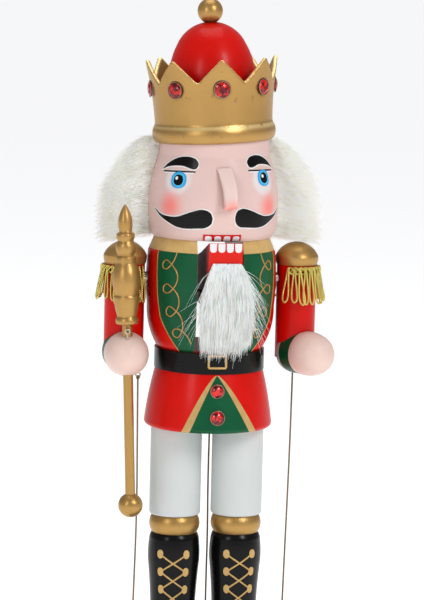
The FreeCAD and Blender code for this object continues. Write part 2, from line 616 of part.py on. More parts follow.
def wrist_bore(side, sign):
    return rod("wrist_dowel_radius + glue_gap", "wrist_dowel_length + 2 * bore_spare",
               **along_hand(side, sign, "wrist_dowel_start - bore_spare"))


def make_arm(side, sign):
    x = f"{sign} * arm_spread"
    stick = rod("arm_radius", "arm_top - arm_bottom", x=x, z="arm_bottom")
    cope = rod("hand_radius + glue_gap", "3 * arm_radius", **along_hand(side, sign, "0 - hand_back"))
    pin_turn = f"rotation(vector(0; 1; 0); {sign * 90})"
    pin_length = "arm_spread - shoulder_pin_start"
    bore = rod("shoulder_pin_radius + running_gap", "arm_spread + bore_spare", z="shoulder_level", turn=pin_turn)
    tools = [cope, bore, wrist_bore(side, sign)]
    if side == "left":
        tools.append(rod("eye_wire + glue_gap", "eye_shank + bore_spare", x="arm_spread + left_eye_side",
                         y="left_eye_place", z="arm_bottom"))
    node(less(stick, *tools), f"{side}_upper_arm")
    node(rod("shoulder_pin_radius", pin_length, x=f"{sign} * shoulder_pin_start", z="shoulder_level",
             turn=pin_turn), f"{side}_shoulder_pin")
    mushroom = turned([("0", "0"), ("epaulette_foot", "0"),
                       ("epaulette_radius", "epaulette_level", "epaulette_rise"),
                       ("0", "epaulette_height", cap("epaulette_radius", "epaulette_height - epaulette_level"))])
    node(place(mushroom, x=x, z="arm_top"), f"{side}_epaulette")
    node(rod("wrist_dowel_radius", "wrist_dowel_length", **along_hand(side, sign, "wrist_dowel_start")),
         f"{side}_wrist_dowel")


def make_fringe(side, sign):
    """The braid round the arm's top with its hanging loops as one flaring skirt."""
    skin = "arm_radius + fringe_skin"
    skirt = turned([("fringe_flare - fringe_depth", "0"), ("fringe_flare", "0"),
                    ("braid_flare", "fringe_drop - braid_height"), ("braid_radius", "fringe_drop"),
                    (skin, "fringe_drop"), (skin, "fringe_drop - braid_inside")])
    place(skirt, x=f"{sign} * arm_spread", z="arm_top - side_gap - fringe_drop")
    torso_side = block("2 * fringe_side", "4 * fringe_flare", "4 * fringe_drop", x="0 - fringe_side",
                       y="0 - 2 * fringe_flare", z="arm_top - 3 * fringe_drop")
    pin_room = rod("shoulder_pin_radius + side_gap", "arm_spread", z="shoulder_level",
                   turn=f"rotation(vector(0; 1; 0); {sign * 90})")
    tools = [torso_side, pin_room]
    if side == "right":
        below = "finial_foot - finial_room"
        tools.append(rod("vase_top + bulb_rise + side_gap", "2 * fringe_drop", y="0 - sceptre_reach",
                         x=f"0 - arm_spread - ({below}) * sin(sceptre_tilt)",
                         z=f"hand_level + ({below}) * cos(sceptre_tilt)", turn=SCEPTRE_TURN))
    node(less(skirt, *tools), f"{side}_fringe")


def make_hand(side, sign):
    blank = turned([("0", "0 - hand_back"), ("hand_back_radius", "0 - hand_back"),
                    ("hand_radius", "cuff_pale - hand_back"), ("hand_radius", "cuff_end"),
                    ("hand_bulge", "hand_bulge_level", "hand_bulge_rise"),
                    ("0", "hand_tip", cap("hand_bulge", "hand_tip - hand_bulge_level"))])
    place(blank, **along_hand(side, sign, "0"))
    tools = [wrist_bore(side, sign)]
    if side == "right":
        tools.append(rod("shaft_radius + glue_gap", "4 * hand_radius", y="0 - sceptre_reach",
                         x="0 - arm_spread + 2 * hand_radius * sin(sceptre_tilt)",
                         z="hand_level - 2 * hand_radius * cos(sceptre_tilt)", turn=SCEPTRE_TURN))
        eye_hole = ("eye_wire + glue_gap", "eye_shank + bore_spare + eye_stand")
        tools.append(rod(*eye_hole, x="0 - arm_spread - hand_eye_shift", y="0 - hand_eye_place",
                         z="hand_level + hand_eye_level - eye_shank - bore_spare"))
        tools.append(rod(*eye_hole, x="0 - arm_spread + right_eye_side", y="0 - right_eye_place",
                         z="hand_level - right_eye_level - eye_stand"))
    node(less(blank, *tools), f"{side}_hand")


def make_sceptre():
    """Turned ball, shaft and finial, all about the leaning axis through the hand."""
    grip = {"x": "0 - arm_spread", "y": "0 - sceptre_reach", "z": "hand_level", "turn": SCEPTRE_TURN}
    shaft = turned([("0", "shaft_end"), ("shaft_radius", "shaft_end"), ("shaft_radius", "shaft_top"),
                    ("0", "shaft_top")])
    node(place(shaft, **grip), "sceptre_shaft")
    round_off = cap("sceptre_ball_radius", "sceptre_ball_radius")
    ball = turned([("0", "sceptre_ball_level - sceptre_ball_radius"),
                   ("sceptre_ball_radius", "sceptre_ball_level", round_off),
                   ("0", "sceptre_ball_level + sceptre_ball_radius", round_off)])
    finial = turned([
        ("0", "finial_foot"), ("finial_ring", "finial_foot"),
        ("finial_ring", "finial_ring_top", "finial_ring_rise"), ("vase_foot", "vase_level"),
        ("vase_top", "vase_top_level", "vase_rise"), ("groove", "groove_level"), ("groove", "bulb_level"),
        ("finial_collar", "bulb_end", "bulb_rise"), ("finial_collar", "collar_end", "collar_rise"),
        ("small_bulb", "collar_end"), ("small_bulb", "small_bulb_end", "small_bulb_rise"),
        ("tip_ring", "small_bulb_end"), ("tip_ring", "tip_ring_end", "tip_ring_rise"),
        ("tip_foot", "tip_ring_end"), ("tip_swell", "tip_swell_level", "tip_swell_rise"),
        ("tip_radius", "tip_end", "tip_rise"), ("0", "tip_end")])
    along = "shaft_end - bore_spare"
    length = "shaft_top - shaft_end + 2 * bore_spare"
    bore = rod("shaft_radius + glue_gap", length, y="0 - sceptre_reach", turn=SCEPTRE_TURN,
               x=f"0 - arm_spread - ({along}) * sin(sceptre_tilt)", z=f"hand_level + ({along}) * cos(sceptre_tilt)")
    node(less(place(ball, **grip), bore), "sceptre_ball")
    node(less(place(finial, **grip), bore), "sceptre_finial")


# ---- screw eyes and cords ----

def screw_eye(label, x, y, z, turn=UPRIGHT):
    """A ring on a shank; the shank goes down into the piece and the ring stands clear of it."""
    ring = doc.addObject("Part::Torus", "Ring")
    ring.setExpression("Radius1", bound("eye_ring"))
    ring.setExpression("Radius2", bound("eye_wire"))
    flip = -1 if turn == UPSIDE_DOWN else 1
    place(ring, x, y, f"{z} + {flip} * eye_stand", FORWARD)
    foot = f"{z} - {flip} * eye_shank"
    shank = rod("eye_wire", "eye_shank + eye_stand - eye_ring + eye_wire / 2", x, y, foot, turn)
    node(joined(ring, shank), label)


def make_eyes():
    screw_eye("hand_screw_eye", "0 - arm_spread - hand_eye_shift", "0 - hand_eye_place",
              "hand_level + hand_eye_level")
    screw_eye("left_cord_eye", "arm_spread + left_eye_side", "left_eye_place", "arm_bottom", UPSIDE_DOWN)
    screw_eye("coat_cord_eye", "coat_eye_side", "coat_eye_place", COAT_FOOT, UPSIDE_DOWN)
    screw_eye("right_cord_eye", "0 - arm_spread + right_eye_side", "0 - right_eye_place",
              "hand_level - right_eye_level", UPSIDE_DOWN)


def make_cord(label, route, top):
    """A plain tube along straight runs joined by tangent arcs."""
    points = [Vector(x, y, z + number(top)) for x, y, z in route]
    edges, radii, here = [], [], points[0]
    for before, corner, after in zip(points, points[1:], points[2:]):
        back, ahead = before - corner, after - corner
        half_turn = (corner - before).getAngle(ahead) / 2
        setback = 0.45 * min(back.Length, ahead.Length)
        radii.append(setback / math.tan(half_turn))
        start = corner + back.normalize() * setback
        end = corner + ahead.normalize() * setback
        inward = (back + ahead).normalize()
        middle = corner + inward * (radii[-1] / math.cos(half_turn) - radii[-1])
        edges.append(Part.LineSegment(here, start).toShape())
        edges.append(Part.Arc(start, middle, end).toShape())
        here = end
    edges.append(Part.LineSegment(here, points[-1]).toShape())
    path = Part.Wire(edges)
    section = Part.Wire([Part.Circle(points[0], points[1] - points[0], number("cord_radius")).toShape()])
    piece = doc.addObject("Part::Feature", "Cord")
    piece.Shape = path.makePipeShell([section], True, False)
    expected = math.pi * number("cord_radius") ** 2 * path.Length
    print(f"{label}: length {path.Length:.1f}, radii {[round(r) for r in radii]}, "
          f"volume {piece.Shape.Volume:.2f} of {expected:.2f}")
    node(piece, label)


def main():
    fill_sheet()
    make_base()
    for side, sign in SIDES:
        x = f"{sign} * leg_spread"
        make_shoe(side, x)
        make_boot(side, x)
        make_leg(side, x)
    make_coat()
    make_torso()
    make_jaw()
    make_head()
    make_hair()
    make_crown()
    make_dome()
    for side, sign in SIDES:
        make_arm(side, sign)
        make_fringe(side, sign)
        make_hand(side, sign)
    make_sceptre()
    make_eyes()
    make_cord("left_cord", LEFT_CORD, "arm_bottom")
    make_cord("right_cord", RIGHT_CORD, "hand_level - right_eye_level")
    make_cord("coat_cord", COAT_CORD, COAT_FOOT)
    doc.recompute()
    write_parts()


def write_parts():
    faults = [piece.Name for piece in doc.Objects if {"Invalid", "Error"} & set(piece.State)]
    for piece in nodes:
        if piece.Shape.isNull() or not piece.Shape.isValid() or not piece.Shape.Solids:
            faults.append(piece.Label)
    if faults:
        raise RuntimeError(f"failed: {faults}")
    os.makedirs("parts", exist_ok=True)
    for piece in nodes:
        piece.Shape.exportStep(f"parts/{piece.Label}.step")
    print(len(nodes), "nodes written")


main()
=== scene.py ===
"""Looks of a painted wooden nutcracker: crown, fur hair and beard, bullion fringes, painted face.

Metres, +Z up. The figure faces -Y; its left is +X. Heights and turns on a piece are measured
from that piece: a turn is in degrees from the front, towards +X.
"""
import json
import math

import bpy
import numpy as np
from mathutils import Matrix, Vector
from mathutils.bvhtree import BVHTree


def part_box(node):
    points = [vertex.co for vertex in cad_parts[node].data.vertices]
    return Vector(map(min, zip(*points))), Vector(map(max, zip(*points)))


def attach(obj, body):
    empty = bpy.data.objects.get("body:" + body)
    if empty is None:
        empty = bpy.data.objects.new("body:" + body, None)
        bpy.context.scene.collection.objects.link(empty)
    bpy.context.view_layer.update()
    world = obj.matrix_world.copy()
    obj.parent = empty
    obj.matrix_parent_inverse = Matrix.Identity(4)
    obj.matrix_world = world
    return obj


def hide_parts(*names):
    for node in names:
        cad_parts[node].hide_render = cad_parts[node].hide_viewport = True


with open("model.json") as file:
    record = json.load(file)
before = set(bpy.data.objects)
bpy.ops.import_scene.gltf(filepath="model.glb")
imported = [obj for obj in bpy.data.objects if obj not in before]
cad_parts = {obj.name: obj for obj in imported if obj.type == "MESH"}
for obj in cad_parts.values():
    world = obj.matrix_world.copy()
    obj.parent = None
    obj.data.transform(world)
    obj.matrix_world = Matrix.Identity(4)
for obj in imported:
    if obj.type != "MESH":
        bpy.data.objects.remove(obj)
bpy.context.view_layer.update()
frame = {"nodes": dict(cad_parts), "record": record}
NODES = frame["nodes"]
MM = 0.001
SIDES = (("left", 1), ("right", -1))
dice = np.random.default_rng(12)

# ---------------------------------------------------------------- camera and light

AIM = Vector((0.9 * MM, 0, 213.3 * MM))
CAMERA_TURN = math.radians(-9)
CAMERA_PITCH = math.radians(7.2)
CAMERA_ROLL = math.radians(1.39)
CAMERA_DISTANCE = 1.6
CAMERA_LENS = 174.5
LIT_POINT = Vector((0, 0, 0.22))
WORLD_COLOUR, WORLD_STRENGTH = (0.95, 0.96, 1.0, 1), 0.34
# name, place, width, height and power
SOFTBOXES = (("key_softbox", (0.75, -1.25, 1.15), 0.35, 0.6, 11.5),
             ("fill_softbox", (-1.05, -1.1, 0.75), 0.35, 0.6, 4.2),
             ("top_softbox", (0, 0.2, 1.6), 1.0, 1.0, 7))


def add_camera():
    away = Vector((math.sin(CAMERA_TURN) * math.cos(CAMERA_PITCH),
                   -math.cos(CAMERA_TURN) * math.cos(CAMERA_PITCH), math.sin(CAMERA_PITCH)))
    camera = bpy.data.objects.new("camera", bpy.data.cameras.new("camera"))
    camera.data.lens = CAMERA_LENS
    camera.data.sensor_width = 36
    camera.data.clip_end = 50
    bpy.context.collection.objects.link(camera)
    look = away.to_track_quat("Z", "Y").to_matrix().to_4x4()
    camera.matrix_world = (Matrix.Translation(AIM + away * CAMERA_DISTANCE) @ look
                           @ Matrix.Rotation(CAMERA_ROLL, 4, "Z"))
    bpy.context.scene.camera = camera


def add_softbox(name, place, width, height, power):
    light = bpy.data.objects.new(name, bpy.data.lights.new(name, "AREA"))
    light.data.shape = "RECTANGLE"
    light.data.size = width
    light.data.size_y = height
    light.data.energy = power
    bpy.context.collection.objects.link(light)
    light.location = place
    light.rotation_euler = (LIT_POINT - Vector(place)).to_track_quat("-Z", "Y").to_euler()


def add_studio():
    world = bpy.data.worlds.new("studio")
    bpy.context.scene.world = world
    world.use_nodes = True
    sky = world.node_tree.nodes["Background"]
    fill(world.node_tree, sky, {"Color": WORLD_COLOUR, "Strength": WORLD_STRENGTH})
    for softbox in SOFTBOXES:
        add_softbox(*softbox)
    bpy.ops.mesh.primitive_plane_add(size=60)
    floor = bpy.context.object
    floor.name = "floor"
    floor.data.materials.append(floor_paint())
    bpy.context.scene.view_settings.view_transform = "Standard"


# ---------------------------------------------------------------- node helpers

def new_tree(name):
    material = bpy.data.materials.new(name)
    material.use_nodes = True
    return material, material.node_tree, material.node_tree.nodes["Principled BSDF"]


def fill(tree, node, inputs):
    for socket, value in inputs.items():
        if isinstance(value, bpy.types.NodeSocket):
            tree.links.new(value, node.inputs[socket])
        else:
            node.inputs[socket].default_value = value
    return node


def add(tree, kind, inputs=None, **settings):
    node = tree.nodes.new(kind)
    for name, value in settings.items():
        setattr(node, name, value)
    return fill(tree, node, inputs or {})


def calc(tree, operation, *values, clamp=False):
    node = add(tree, "ShaderNodeMath", operation=operation, use_clamp=clamp)
    return fill(tree, node, dict(enumerate(values))).outputs[0]


def blend_colour(tree, mask, below, above):
    node = add(tree, "ShaderNodeMix", data_type="RGBA")
    fill(tree, node, {0: mask, 6: below, 7: above})
    return node.outputs[2]


def inverse(tree, mask):
    return calc(tree, "SUBTRACT", 1.0, mask)


def step(tree, value, low, high):
    """0 below low and 1 above high, smooth between."""
    node = add(tree, "ShaderNodeMapRange", {"Value": value, "From Min": low, "From Max": high},
               interpolation_type="SMOOTHSTEP")
    return node.outputs["Result"]


def place_of(tree):
    """Object coordinates, split into X, Y and Z."""
    coords = add(tree, "ShaderNodeTexCoord").outputs["Object"]
    split = add(tree, "ShaderNodeSeparateXYZ", {0: coords})
    return coords, split.outputs[0], split.outputs[1], split.outputs[2]


def near(tree, coords, point, inner, outer):
    """1 within inner of a point, fading to 0 at outer."""
    gap = add(tree, "ShaderNodeVectorMath", {0: coords, 1: point}, operation="DISTANCE").outputs["Value"]
    return inverse(tree, step(tree, gap, inner, outer))


def clouds(tree, coords, scale, detail=2.0):
    """Soft noise from 0 to 1, with about scale patches to a metre."""
    return add(tree, "ShaderNodeTexNoise", {"Vector": coords, "Scale": scale, "Detail": detail}).outputs[0]


def mottled(tree, coords, scale, low, high):
    """A colour that wanders between two shades."""
    return blend_colour(tree, clouds(tree, coords, scale), low, high)


def facing(tree, axis):
    """How far the surface looks along X, Y or Z, from -1 to 1."""
    normal = add(tree, "ShaderNodeNewGeometry").outputs["Normal"]
    return add(tree, "ShaderNodeSeparateXYZ", {0: normal}).outputs[axis]


def make_group(name, inputs, outputs):
    group = bpy.data.node_groups.new(name, "ShaderNodeTree")
    for socket, value in inputs.items():
        made = group.interface.new_socket(socket, in_out="INPUT", socket_type="NodeSocketFloat")
        made.default_value = value
    for socket in outputs:
        group.interface.new_socket(socket, in_out="OUTPUT", socket_type="NodeSocketFloat")
    return group, group.nodes.new("NodeGroupInput"), group.nodes.new("NodeGroupOutput")


def brushed_coat():
    """Hand-brushed paint: soft patches of tone, fine streaks, and a height for the bump."""
    group, given, out = make_group("brushed coat", {"Scale": 60.0, "Streak": 5.0}, ("Tone", "Height"))
    coords = add(group, "ShaderNodeTexCoord").outputs["Object"]
    patches = clouds(group, coords, given.outputs["Scale"], 4.0)
    stretch = add(group, "ShaderNodeMapping", {"Vector": coords, "Scale": (1.0, 1.0, 6.0)})
    streak_scale = calc(group, "MULTIPLY", given.outputs["Scale"], given.outputs["Streak"])
    streaks = clouds(group, stretch.outputs[0], streak_scale, 3.0)
    mixed = calc(group, "MULTIPLY_ADD", streaks, 0.35, calc(group, "MULTIPLY", patches, 0.65))
    group.links.new(mixed, out.inputs["Tone"])
    fine = clouds(group, coords, calc(group, "MULTIPLY", streak_scale, 4.0))
    height = calc(group, "MULTIPLY_ADD", fine, 0.4, streaks)
    group.links.new(height, out.inputs["Height"])
    return group


def edge_wear_and_highlight():
    """Where paint rubs thin, and where the gold paints take a painted highlight: corners of the piece, broken up
    by noise.
    """
    group, given, out = make_group("edge wear", {"Reach": 0.0006, "Amount": 0.5}, ("Mask",))
    rounded = add(group, "ShaderNodeBevel", {"Radius": given.outputs["Reach"]}, samples=4)
    flat = add(group, "ShaderNodeNewGeometry").outputs["Normal"]
    same = add(group, "ShaderNodeVectorMath", {0: rounded.outputs[0], 1: flat}, operation="DOT_PRODUCT")
    corner = step(group, inverse(group, same.outputs["Value"]), 0.02, 0.22)
    coords = add(group, "ShaderNodeTexCoord").outputs["Object"]
    broken = calc(group, "MULTIPLY", corner, step(group, clouds(group, coords, 450.0, 4.0), 0.4, 0.62))
    group.links.new(calc(group, "MULTIPLY", broken, given.outputs["Amount"]), out.inputs["Mask"])
    return group


def crevice():
    """Painted shade: darker close to neighbouring pieces, where ambient occlusion finds little open sky."""
    group, given, out = make_group("crevice", {"Reach": 0.004}, ("Mask",))
    open_sky = add(group, "ShaderNodeAmbientOcclusion", {"Distance": given.outputs["Reach"]}, samples=6)
    dark = inverse(group, open_sky.outputs["AO"])
    group.links.new(step(group, dark, 0.25, 0.85), out.inputs["Mask"])
    return group


GROUPS = {"coat": brushed_coat(), "wear": edge_wear_and_highlight(), "crevice": crevice()}


def use(tree, name, **inputs):
    node = tree.nodes.new("ShaderNodeGroup")
    node.node_tree = GROUPS[name]
    return fill(tree, node, inputs)


def shade(colour, amount):
    return tuple(min(1.0, channel * amount) for channel in colour[:3]) + (1.0,)


def painted(name, recolour=None, base=(0.5, 0.5, 0.5), rough=0.35, metallic=0.0, gloss=0.08, tone=0.14,
            wear_and_highlight_colour=None, wear=0.4, crevice_shade_colour=(0.1, 0.06, 0.03, 1), crevice_shade_amount=0.5, bump=0.12, scale=60.0, shine=0.13):
    """A coat of paint on wood. recolour(tree, colour) may lay further colours over the base."""
    material, tree, shader = new_tree(name)
    coat = use(tree, "coat", Scale=scale)
    colour = blend_colour(tree, coat.outputs["Tone"], shade(base, 1 - tone * 1.6), shade(base, 1 + tone * 1.6))
    if recolour:
        colour = recolour(tree, colour)
    mask = use(tree, "wear", Amount=wear).outputs["Mask"]
    # edges: wear, and on the gold paints a painted highlight in bright gold
    colour = blend_colour(tree, mask, colour, wear_and_highlight_colour or shade(base, 1.7))
    # painted shade: each paint darkens towards its shade colour close to neighbouring pieces
    crevice_shade = calc(tree, "MULTIPLY", use(tree, "crevice").outputs["Mask"], crevice_shade_amount)
    colour = blend_colour(tree, crevice_shade, colour, crevice_shade_colour)
    roughness = calc(tree, "MULTIPLY_ADD", coat.outputs["Tone"], 0.22, rough - 0.11)
    height = coat.outputs["Height"]
    relief = add(tree, "ShaderNodeBump", {"Strength": bump, "Distance": 0.0004, "Height": height})
    fill(tree, shader, {"Base Color": colour, "Roughness": roughness, "Normal": relief.outputs[0],
                        "Metallic": metallic, "Coat Weight": gloss, "Coat Roughness": 0.15,
                        "Specular IOR Level": shine})
    return material


# ---------------------------------------------------------------- colours and finishes

RED = (0.60, 0.004, 0.001, 1)
# the coat's painted shade, close to neighbouring pieces
COAT_SHADE_RED = (0.34, 0.004, 0.003, 1)
SLOT_SHADE_RED = (0.34, 0.014, 0.010, 1)
JAW_SIDE_SHADE = (0.30, 0.060, 0.068, 1)
GREEN = (0.003, 0.082, 0.030, 1)
GOLD = (0.46, 0.270, 0.085, 1)
BRIGHT_GOLD = (0.95, 0.66, 0.27, 1)
# BROWN is the gold's painted shade close to neighbouring pieces, and the crown's dark specks
BROWN = (0.12, 0.055, 0.018, 1)
FLESH = (0.70, 0.50, 0.46, 1)
BLUSH = (0.90, 0.20, 0.17, 1)
BLACK = (0.003, 0.003, 0.003, 1)
WHITE = (0.60, 0.63, 0.62, 1)


def floor_paint():
    material, tree, shader = new_tree("pale_floor")
    fill(tree, shader, {"Base Color": (0.8, 0.8, 0.8, 1), "Roughness": 0.9, "Emission Color": (1, 1, 1, 1),
                        "Emission Strength": 0.66})
    return material


def gold_paint():
    # bright gold on the edges: partly wear, partly painted highlight
    return painted("gold_paint", base=GOLD, rough=0.36, metallic=0.7, gloss=0.05, tone=0.10, wear_and_highlight_colour=BRIGHT_GOLD,
                   wear=0.75, crevice_shade_colour=BROWN, crevice_shade_amount=0.75, bump=0.18, scale=90.0)


def red_paint():
    return painted("red_paint", base=RED, rough=0.36, gloss=0.08, tone=0.12, wear_and_highlight_colour=(0.75, 0.05, 0.02, 1),
                   crevice_shade_colour=(0.08, 0.003, 0.002, 1), crevice_shade_amount=0.6)


def black_paint():
    return painted("black_paint", base=BLACK, rough=0.26, gloss=0.08, tone=0.3, wear_and_highlight_colour=(0.05, 0.045, 0.04, 1),
                   crevice_shade_amount=0.2, crevice_shade_colour=(0.004, 0.004, 0.004, 1))


def white_paint():
    return painted("white_paint", base=WHITE, rough=0.42, gloss=0.05, tone=0.03, wear_and_highlight_colour=(0.72, 0.74, 0.73, 1),
                   crevice_shade_colour=(0.30, 0.22, 0.14, 1), crevice_shade_amount=0.45)


def green_paint():
    return painted("green_paint", base=GREEN, rough=0.36, gloss=0.08, tone=0.12, wear_and_highlight_colour=(0.05, 0.25, 0.13, 1))


def bare_wood():
    def grain(tree, colour):
        coords = place_of(tree)[0]
        rings = add(tree, "ShaderNodeTexWave",
                    {"Vector": coords, "Scale": 90.0, "Distortion": 4.0, "Detail": 3.0})
        return blend_colour(tree, rings.outputs[0], (0.55, 0.36, 0.19, 1), (0.72, 0.53, 0.32, 1))
    return painted("bare_wood", grain, base=(0.62, 0.44, 0.26), rough=0.6, gloss=0.0, crevice_shade_amount=0.2)


def bare_metal(name, base, rough):
    return painted(name, base=base, rough=rough, metallic=1.0, gloss=0.0, tone=0.1, crevice_shade_amount=0.4, scale=300.0)


def head_paint():
    """Pink flesh with rouged cheeks, whitened eyes and an orange-brown painted shade at the joints."""
    def face(tree, colour):
        coords, x, y, z = place_of(tree)
        skin = Skin("head")
        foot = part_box("head")[0][2]
        for sign in (1, -1):
            eye = tuple(skin.at(sign * EYE_TURN, foot + EYE_HEIGHT - 1.5 * MM))
            white = calc(tree, "MULTIPLY", near(tree, coords, eye, 6.2 * MM, 9.8 * MM),
                         inverse(tree, step(tree, z, foot + 37.6 * MM, foot + 38.4 * MM)))
            colour = blend_colour(tree, calc(tree, "MULTIPLY", white, 0.8), colour, (0.74, 0.70, 0.70, 1))
            cheek = tuple(skin.at(sign * 49.5, foot + 18.3 * MM))
            rouge = calc(tree, "MULTIPLY", near(tree, coords, cheek, 0.5 * MM, 11.0 * MM), 0.85)
            colour = blend_colour(tree, rouge, colour, BLUSH)
        return colour
    return painted("head_paint", face, base=FLESH, rough=0.40, gloss=0.05, tone=0.035,
                   wear_and_highlight_colour=(0.88, 0.68, 0.62, 1), wear=0.3, crevice_shade_colour=(0.52, 0.24, 0.11, 1), crevice_shade_amount=0.8)


def crown_paint():
    """Gold with painted highlight on the faces that look up and on the cut edges of the points."""
    def edges(tree, colour):
        coords, x, y, z = place_of(tree)
        noise = clouds(tree, coords, 220.0, 4.0)
        # painted highlight on faces that look up, broken up by noise
        top_highlight = calc(tree, "MULTIPLY", step(tree, facing(tree, 2), 0.22, 0.55), step(tree, noise, 0.22, 0.45))
        colour = blend_colour(tree, top_highlight, colour, (1.0, 0.74, 0.33, 1))
        specks = calc(tree, "MULTIPLY", step(tree, noise, 0.66, 0.72), 0.3)
        return blend_colour(tree, specks, colour, BROWN)
    return painted("crown_paint", edges, base=GOLD, rough=0.36, metallic=0.65, gloss=0.05, tone=0.10,
                   wear_and_highlight_colour=BRIGHT_GOLD, wear=0.6, crevice_shade_colour=BROWN, crevice_shade_amount=0.75, bump=0.18, scale=90.0)


def nose_paint():
    def tip(tree, colour):
        coords = place_of(tree)[0]
        low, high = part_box("nose")
        point = (high[0] - 2.6 * MM, low[1] + 1.5 * MM, low[2] + 1.5 * MM)
        rouge = calc(tree, "MULTIPLY", near(tree, coords, point, 1.0 * MM, 9.5 * MM), 0.9)
        return blend_colour(tree, rouge, colour, BLUSH)
    return painted("nose_paint", tip, base=(0.76, 0.58, 0.53), rough=0.36, gloss=0.08, tone=0.03, crevice_shade_amount=0.3,
                   crevice_shade_colour=(0.6, 0.3, 0.2, 1))


def torso_paint():
    """Red, with green front panels that curve in at the foot, and a gold collar."""
    def panels(tree, colour):
        coords, x, y, z = place_of(tree)
        turn = calc(tree, "ABSOLUTE", calc(tree, "ARCTAN2", x, calc(tree, "MULTIPLY", y, -1.0)))
        up = calc(tree, "SUBTRACT", z, TORSO_FOOT)
        share = calc(tree, "DIVIDE", up, PANEL_EDGE[-1][1] * MM, clamp=True)
        curve = add(tree, "ShaderNodeFloatCurve", {"Value": share})
        line = curve.mapping.curves[0]
        for index, (degrees, height) in enumerate(PANEL_EDGE):
            spot = (height / PANEL_EDGE[-1][1], math.radians(degrees) / 2)
            if index in (0, len(PANEL_EDGE) - 1):
                line.points[0 if index == 0 else -1].location = spot
            else:
                line.points.new(*spot)
        curve.mapping.update()
        edge = calc(tree, "MULTIPLY", curve.outputs[0], 2.0)
        inside = step(tree, calc(tree, "SUBTRACT", edge, turn), -0.004, 0.004)
        collar = step(tree, up, COLLAR_LEVEL - 0.2 * MM, COLLAR_LEVEL + 0.2 * MM)
        green = mottled(tree, coords, 70.0, shade(GREEN, 0.8), shade(GREEN, 1.25))
        colour = blend_colour(tree, inside, colour, green)
        # painted shade: the walls inside the jaw's slot take a darker red
        slot_wall = inverse(tree, step(tree, calc(tree, "ABSOLUTE", x), 12.45 * MM, 12.6 * MM))
        colour = blend_colour(tree, slot_wall, colour, SLOT_SHADE_RED)
        gold = mottled(tree, coords, 160.0, shade(GOLD, 1.05), shade(BRIGHT_GOLD, 0.80))
        collar = calc(tree, "MULTIPLY", collar, inverse(tree, slot_wall))
        return blend_colour(tree, collar, colour, gold)
    return painted("torso_paint", panels, base=RED, rough=0.36, gloss=0.08, tone=0.12, wear=0.25,
                   crevice_shade_colour=(0.06, 0.02, 0.01, 1), crevice_shade_amount=0.6)


def coat_paint():
    """Red, with a green triangle that widens from the belt to the hem."""
    def triangle(tree, colour):
        coords, x, y, z = place_of(tree)
        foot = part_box("coat_skirt")[0][2]
        drop = calc(tree, "DIVIDE", calc(tree, "SUBTRACT", COAT_APEX, z), COAT_APEX - foot, clamp=True)
        across = calc(tree, "ABSOLUTE", calc(tree, "MULTIPLY_ADD", drop, -TRIANGLE_LEAN, x))
        front = calc(tree, "LESS_THAN", y, 0.0)
        gold = mottled(tree, coords, 160.0, shade(GOLD, 0.85), shade(BRIGHT_GOLD, 0.65))
        green = mottled(tree, coords, 70.0, shade(GREEN, 0.8), shade(GREEN, 1.25))
        for reach, bow, start, paint in ((TRIANGLE_HALF + 3.4 * MM, 0.78, 0.7 * MM, gold),
                                         (TRIANGLE_HALF, 0.88, 0.0, green)):
            edge = calc(tree, "MULTIPLY_ADD", calc(tree, "POWER", drop, bow), reach, start)
            inside = step(tree, calc(tree, "SUBTRACT", edge, across), -0.1 * MM, 0.1 * MM)
            below = calc(tree, "GREATER_THAN", drop, 0.001)
            mask = calc(tree, "MULTIPLY", calc(tree, "MULTIPLY", inside, front), below)
            colour = blend_colour(tree, mask, colour, paint)
        return colour
    return painted("coat_paint", triangle, base=RED, rough=0.34, gloss=0.08, tone=0.12,
                   crevice_shade_colour=COAT_SHADE_RED, crevice_shade_amount=0.5)


def hand_paint(side, sign):
    """Flesh bead with a green cuff band, and painted shade, a greyer flesh, behind it."""
    def cuffs(tree, colour):
        coords, x, y, z = place_of(tree)
        yaw = HAND_YAW[side]
        across = calc(tree, "SUBTRACT", x, sign * ARM_SPREAD)
        ahead = calc(tree, "ADD", calc(tree, "MULTIPLY", across, math.sin(yaw)),
                     calc(tree, "MULTIPLY", y, -math.cos(yaw)))
        band = inverse(tree, step(tree, ahead, CUFF_END - 0.15 * MM, CUFF_END + 0.15 * MM))
        colour = blend_colour(tree, band, colour, shade(GREEN, 0.9))
        # painted shade: the flesh behind the cuff is greyer
        pale = inverse(tree, step(tree, ahead, CUFF_SHADE_END - 0.15 * MM, CUFF_SHADE_END + 0.15 * MM))
        return blend_colour(tree, pale, colour, (0.55, 0.50, 0.46, 1))
    return painted(f"{side}_hand_paint", cuffs, base=(0.76, 0.56, 0.49), rough=0.38, gloss=0.05, tone=0.03,
                   wear=0.2, crevice_shade_colour=(0.35, 0.2, 0.14, 1), crevice_shade_amount=0.35)


def jaw_paint():
    """Bright red on the front edge, and painted shade in dark plum on the sides."""
    def sides(tree, colour):
        side = step(tree, facing(tree, 1), -0.75, -0.55)
        return blend_colour(tree, side, colour, JAW_SIDE_SHADE)
    return painted("jaw_paint", sides, base=(0.66, 0.016, 0.008), rough=0.5, gloss=0.08, tone=0.12, crevice_shade_amount=0.3)


def red_stone():
    """Foil-backed stone: the facets' flashes of light and dark are painted reflections."""
    material, tree, shader = new_tree("red_stone")
    coords = place_of(tree)[0]
    cells = add(tree, "ShaderNodeTexVoronoi", {"Vector": coords, "Scale": 620.0})
    split = add(tree, "ShaderNodeSeparateColor", {0: cells.outputs["Color"]}).outputs[0]
    # painted reflections: each cell is bright red or near black
    colour = blend_colour(tree, step(tree, split, 0.25, 0.8), (0.11, 0.0, 0.002, 1), (0.72, 0.010, 0.005, 1))
    fill(tree, shader, {"Base Color": colour, "Roughness": 0.12, "Coat Weight": 0.2, "Coat Roughness": 0.05,
                        "Metallic": 0.25})
    return material


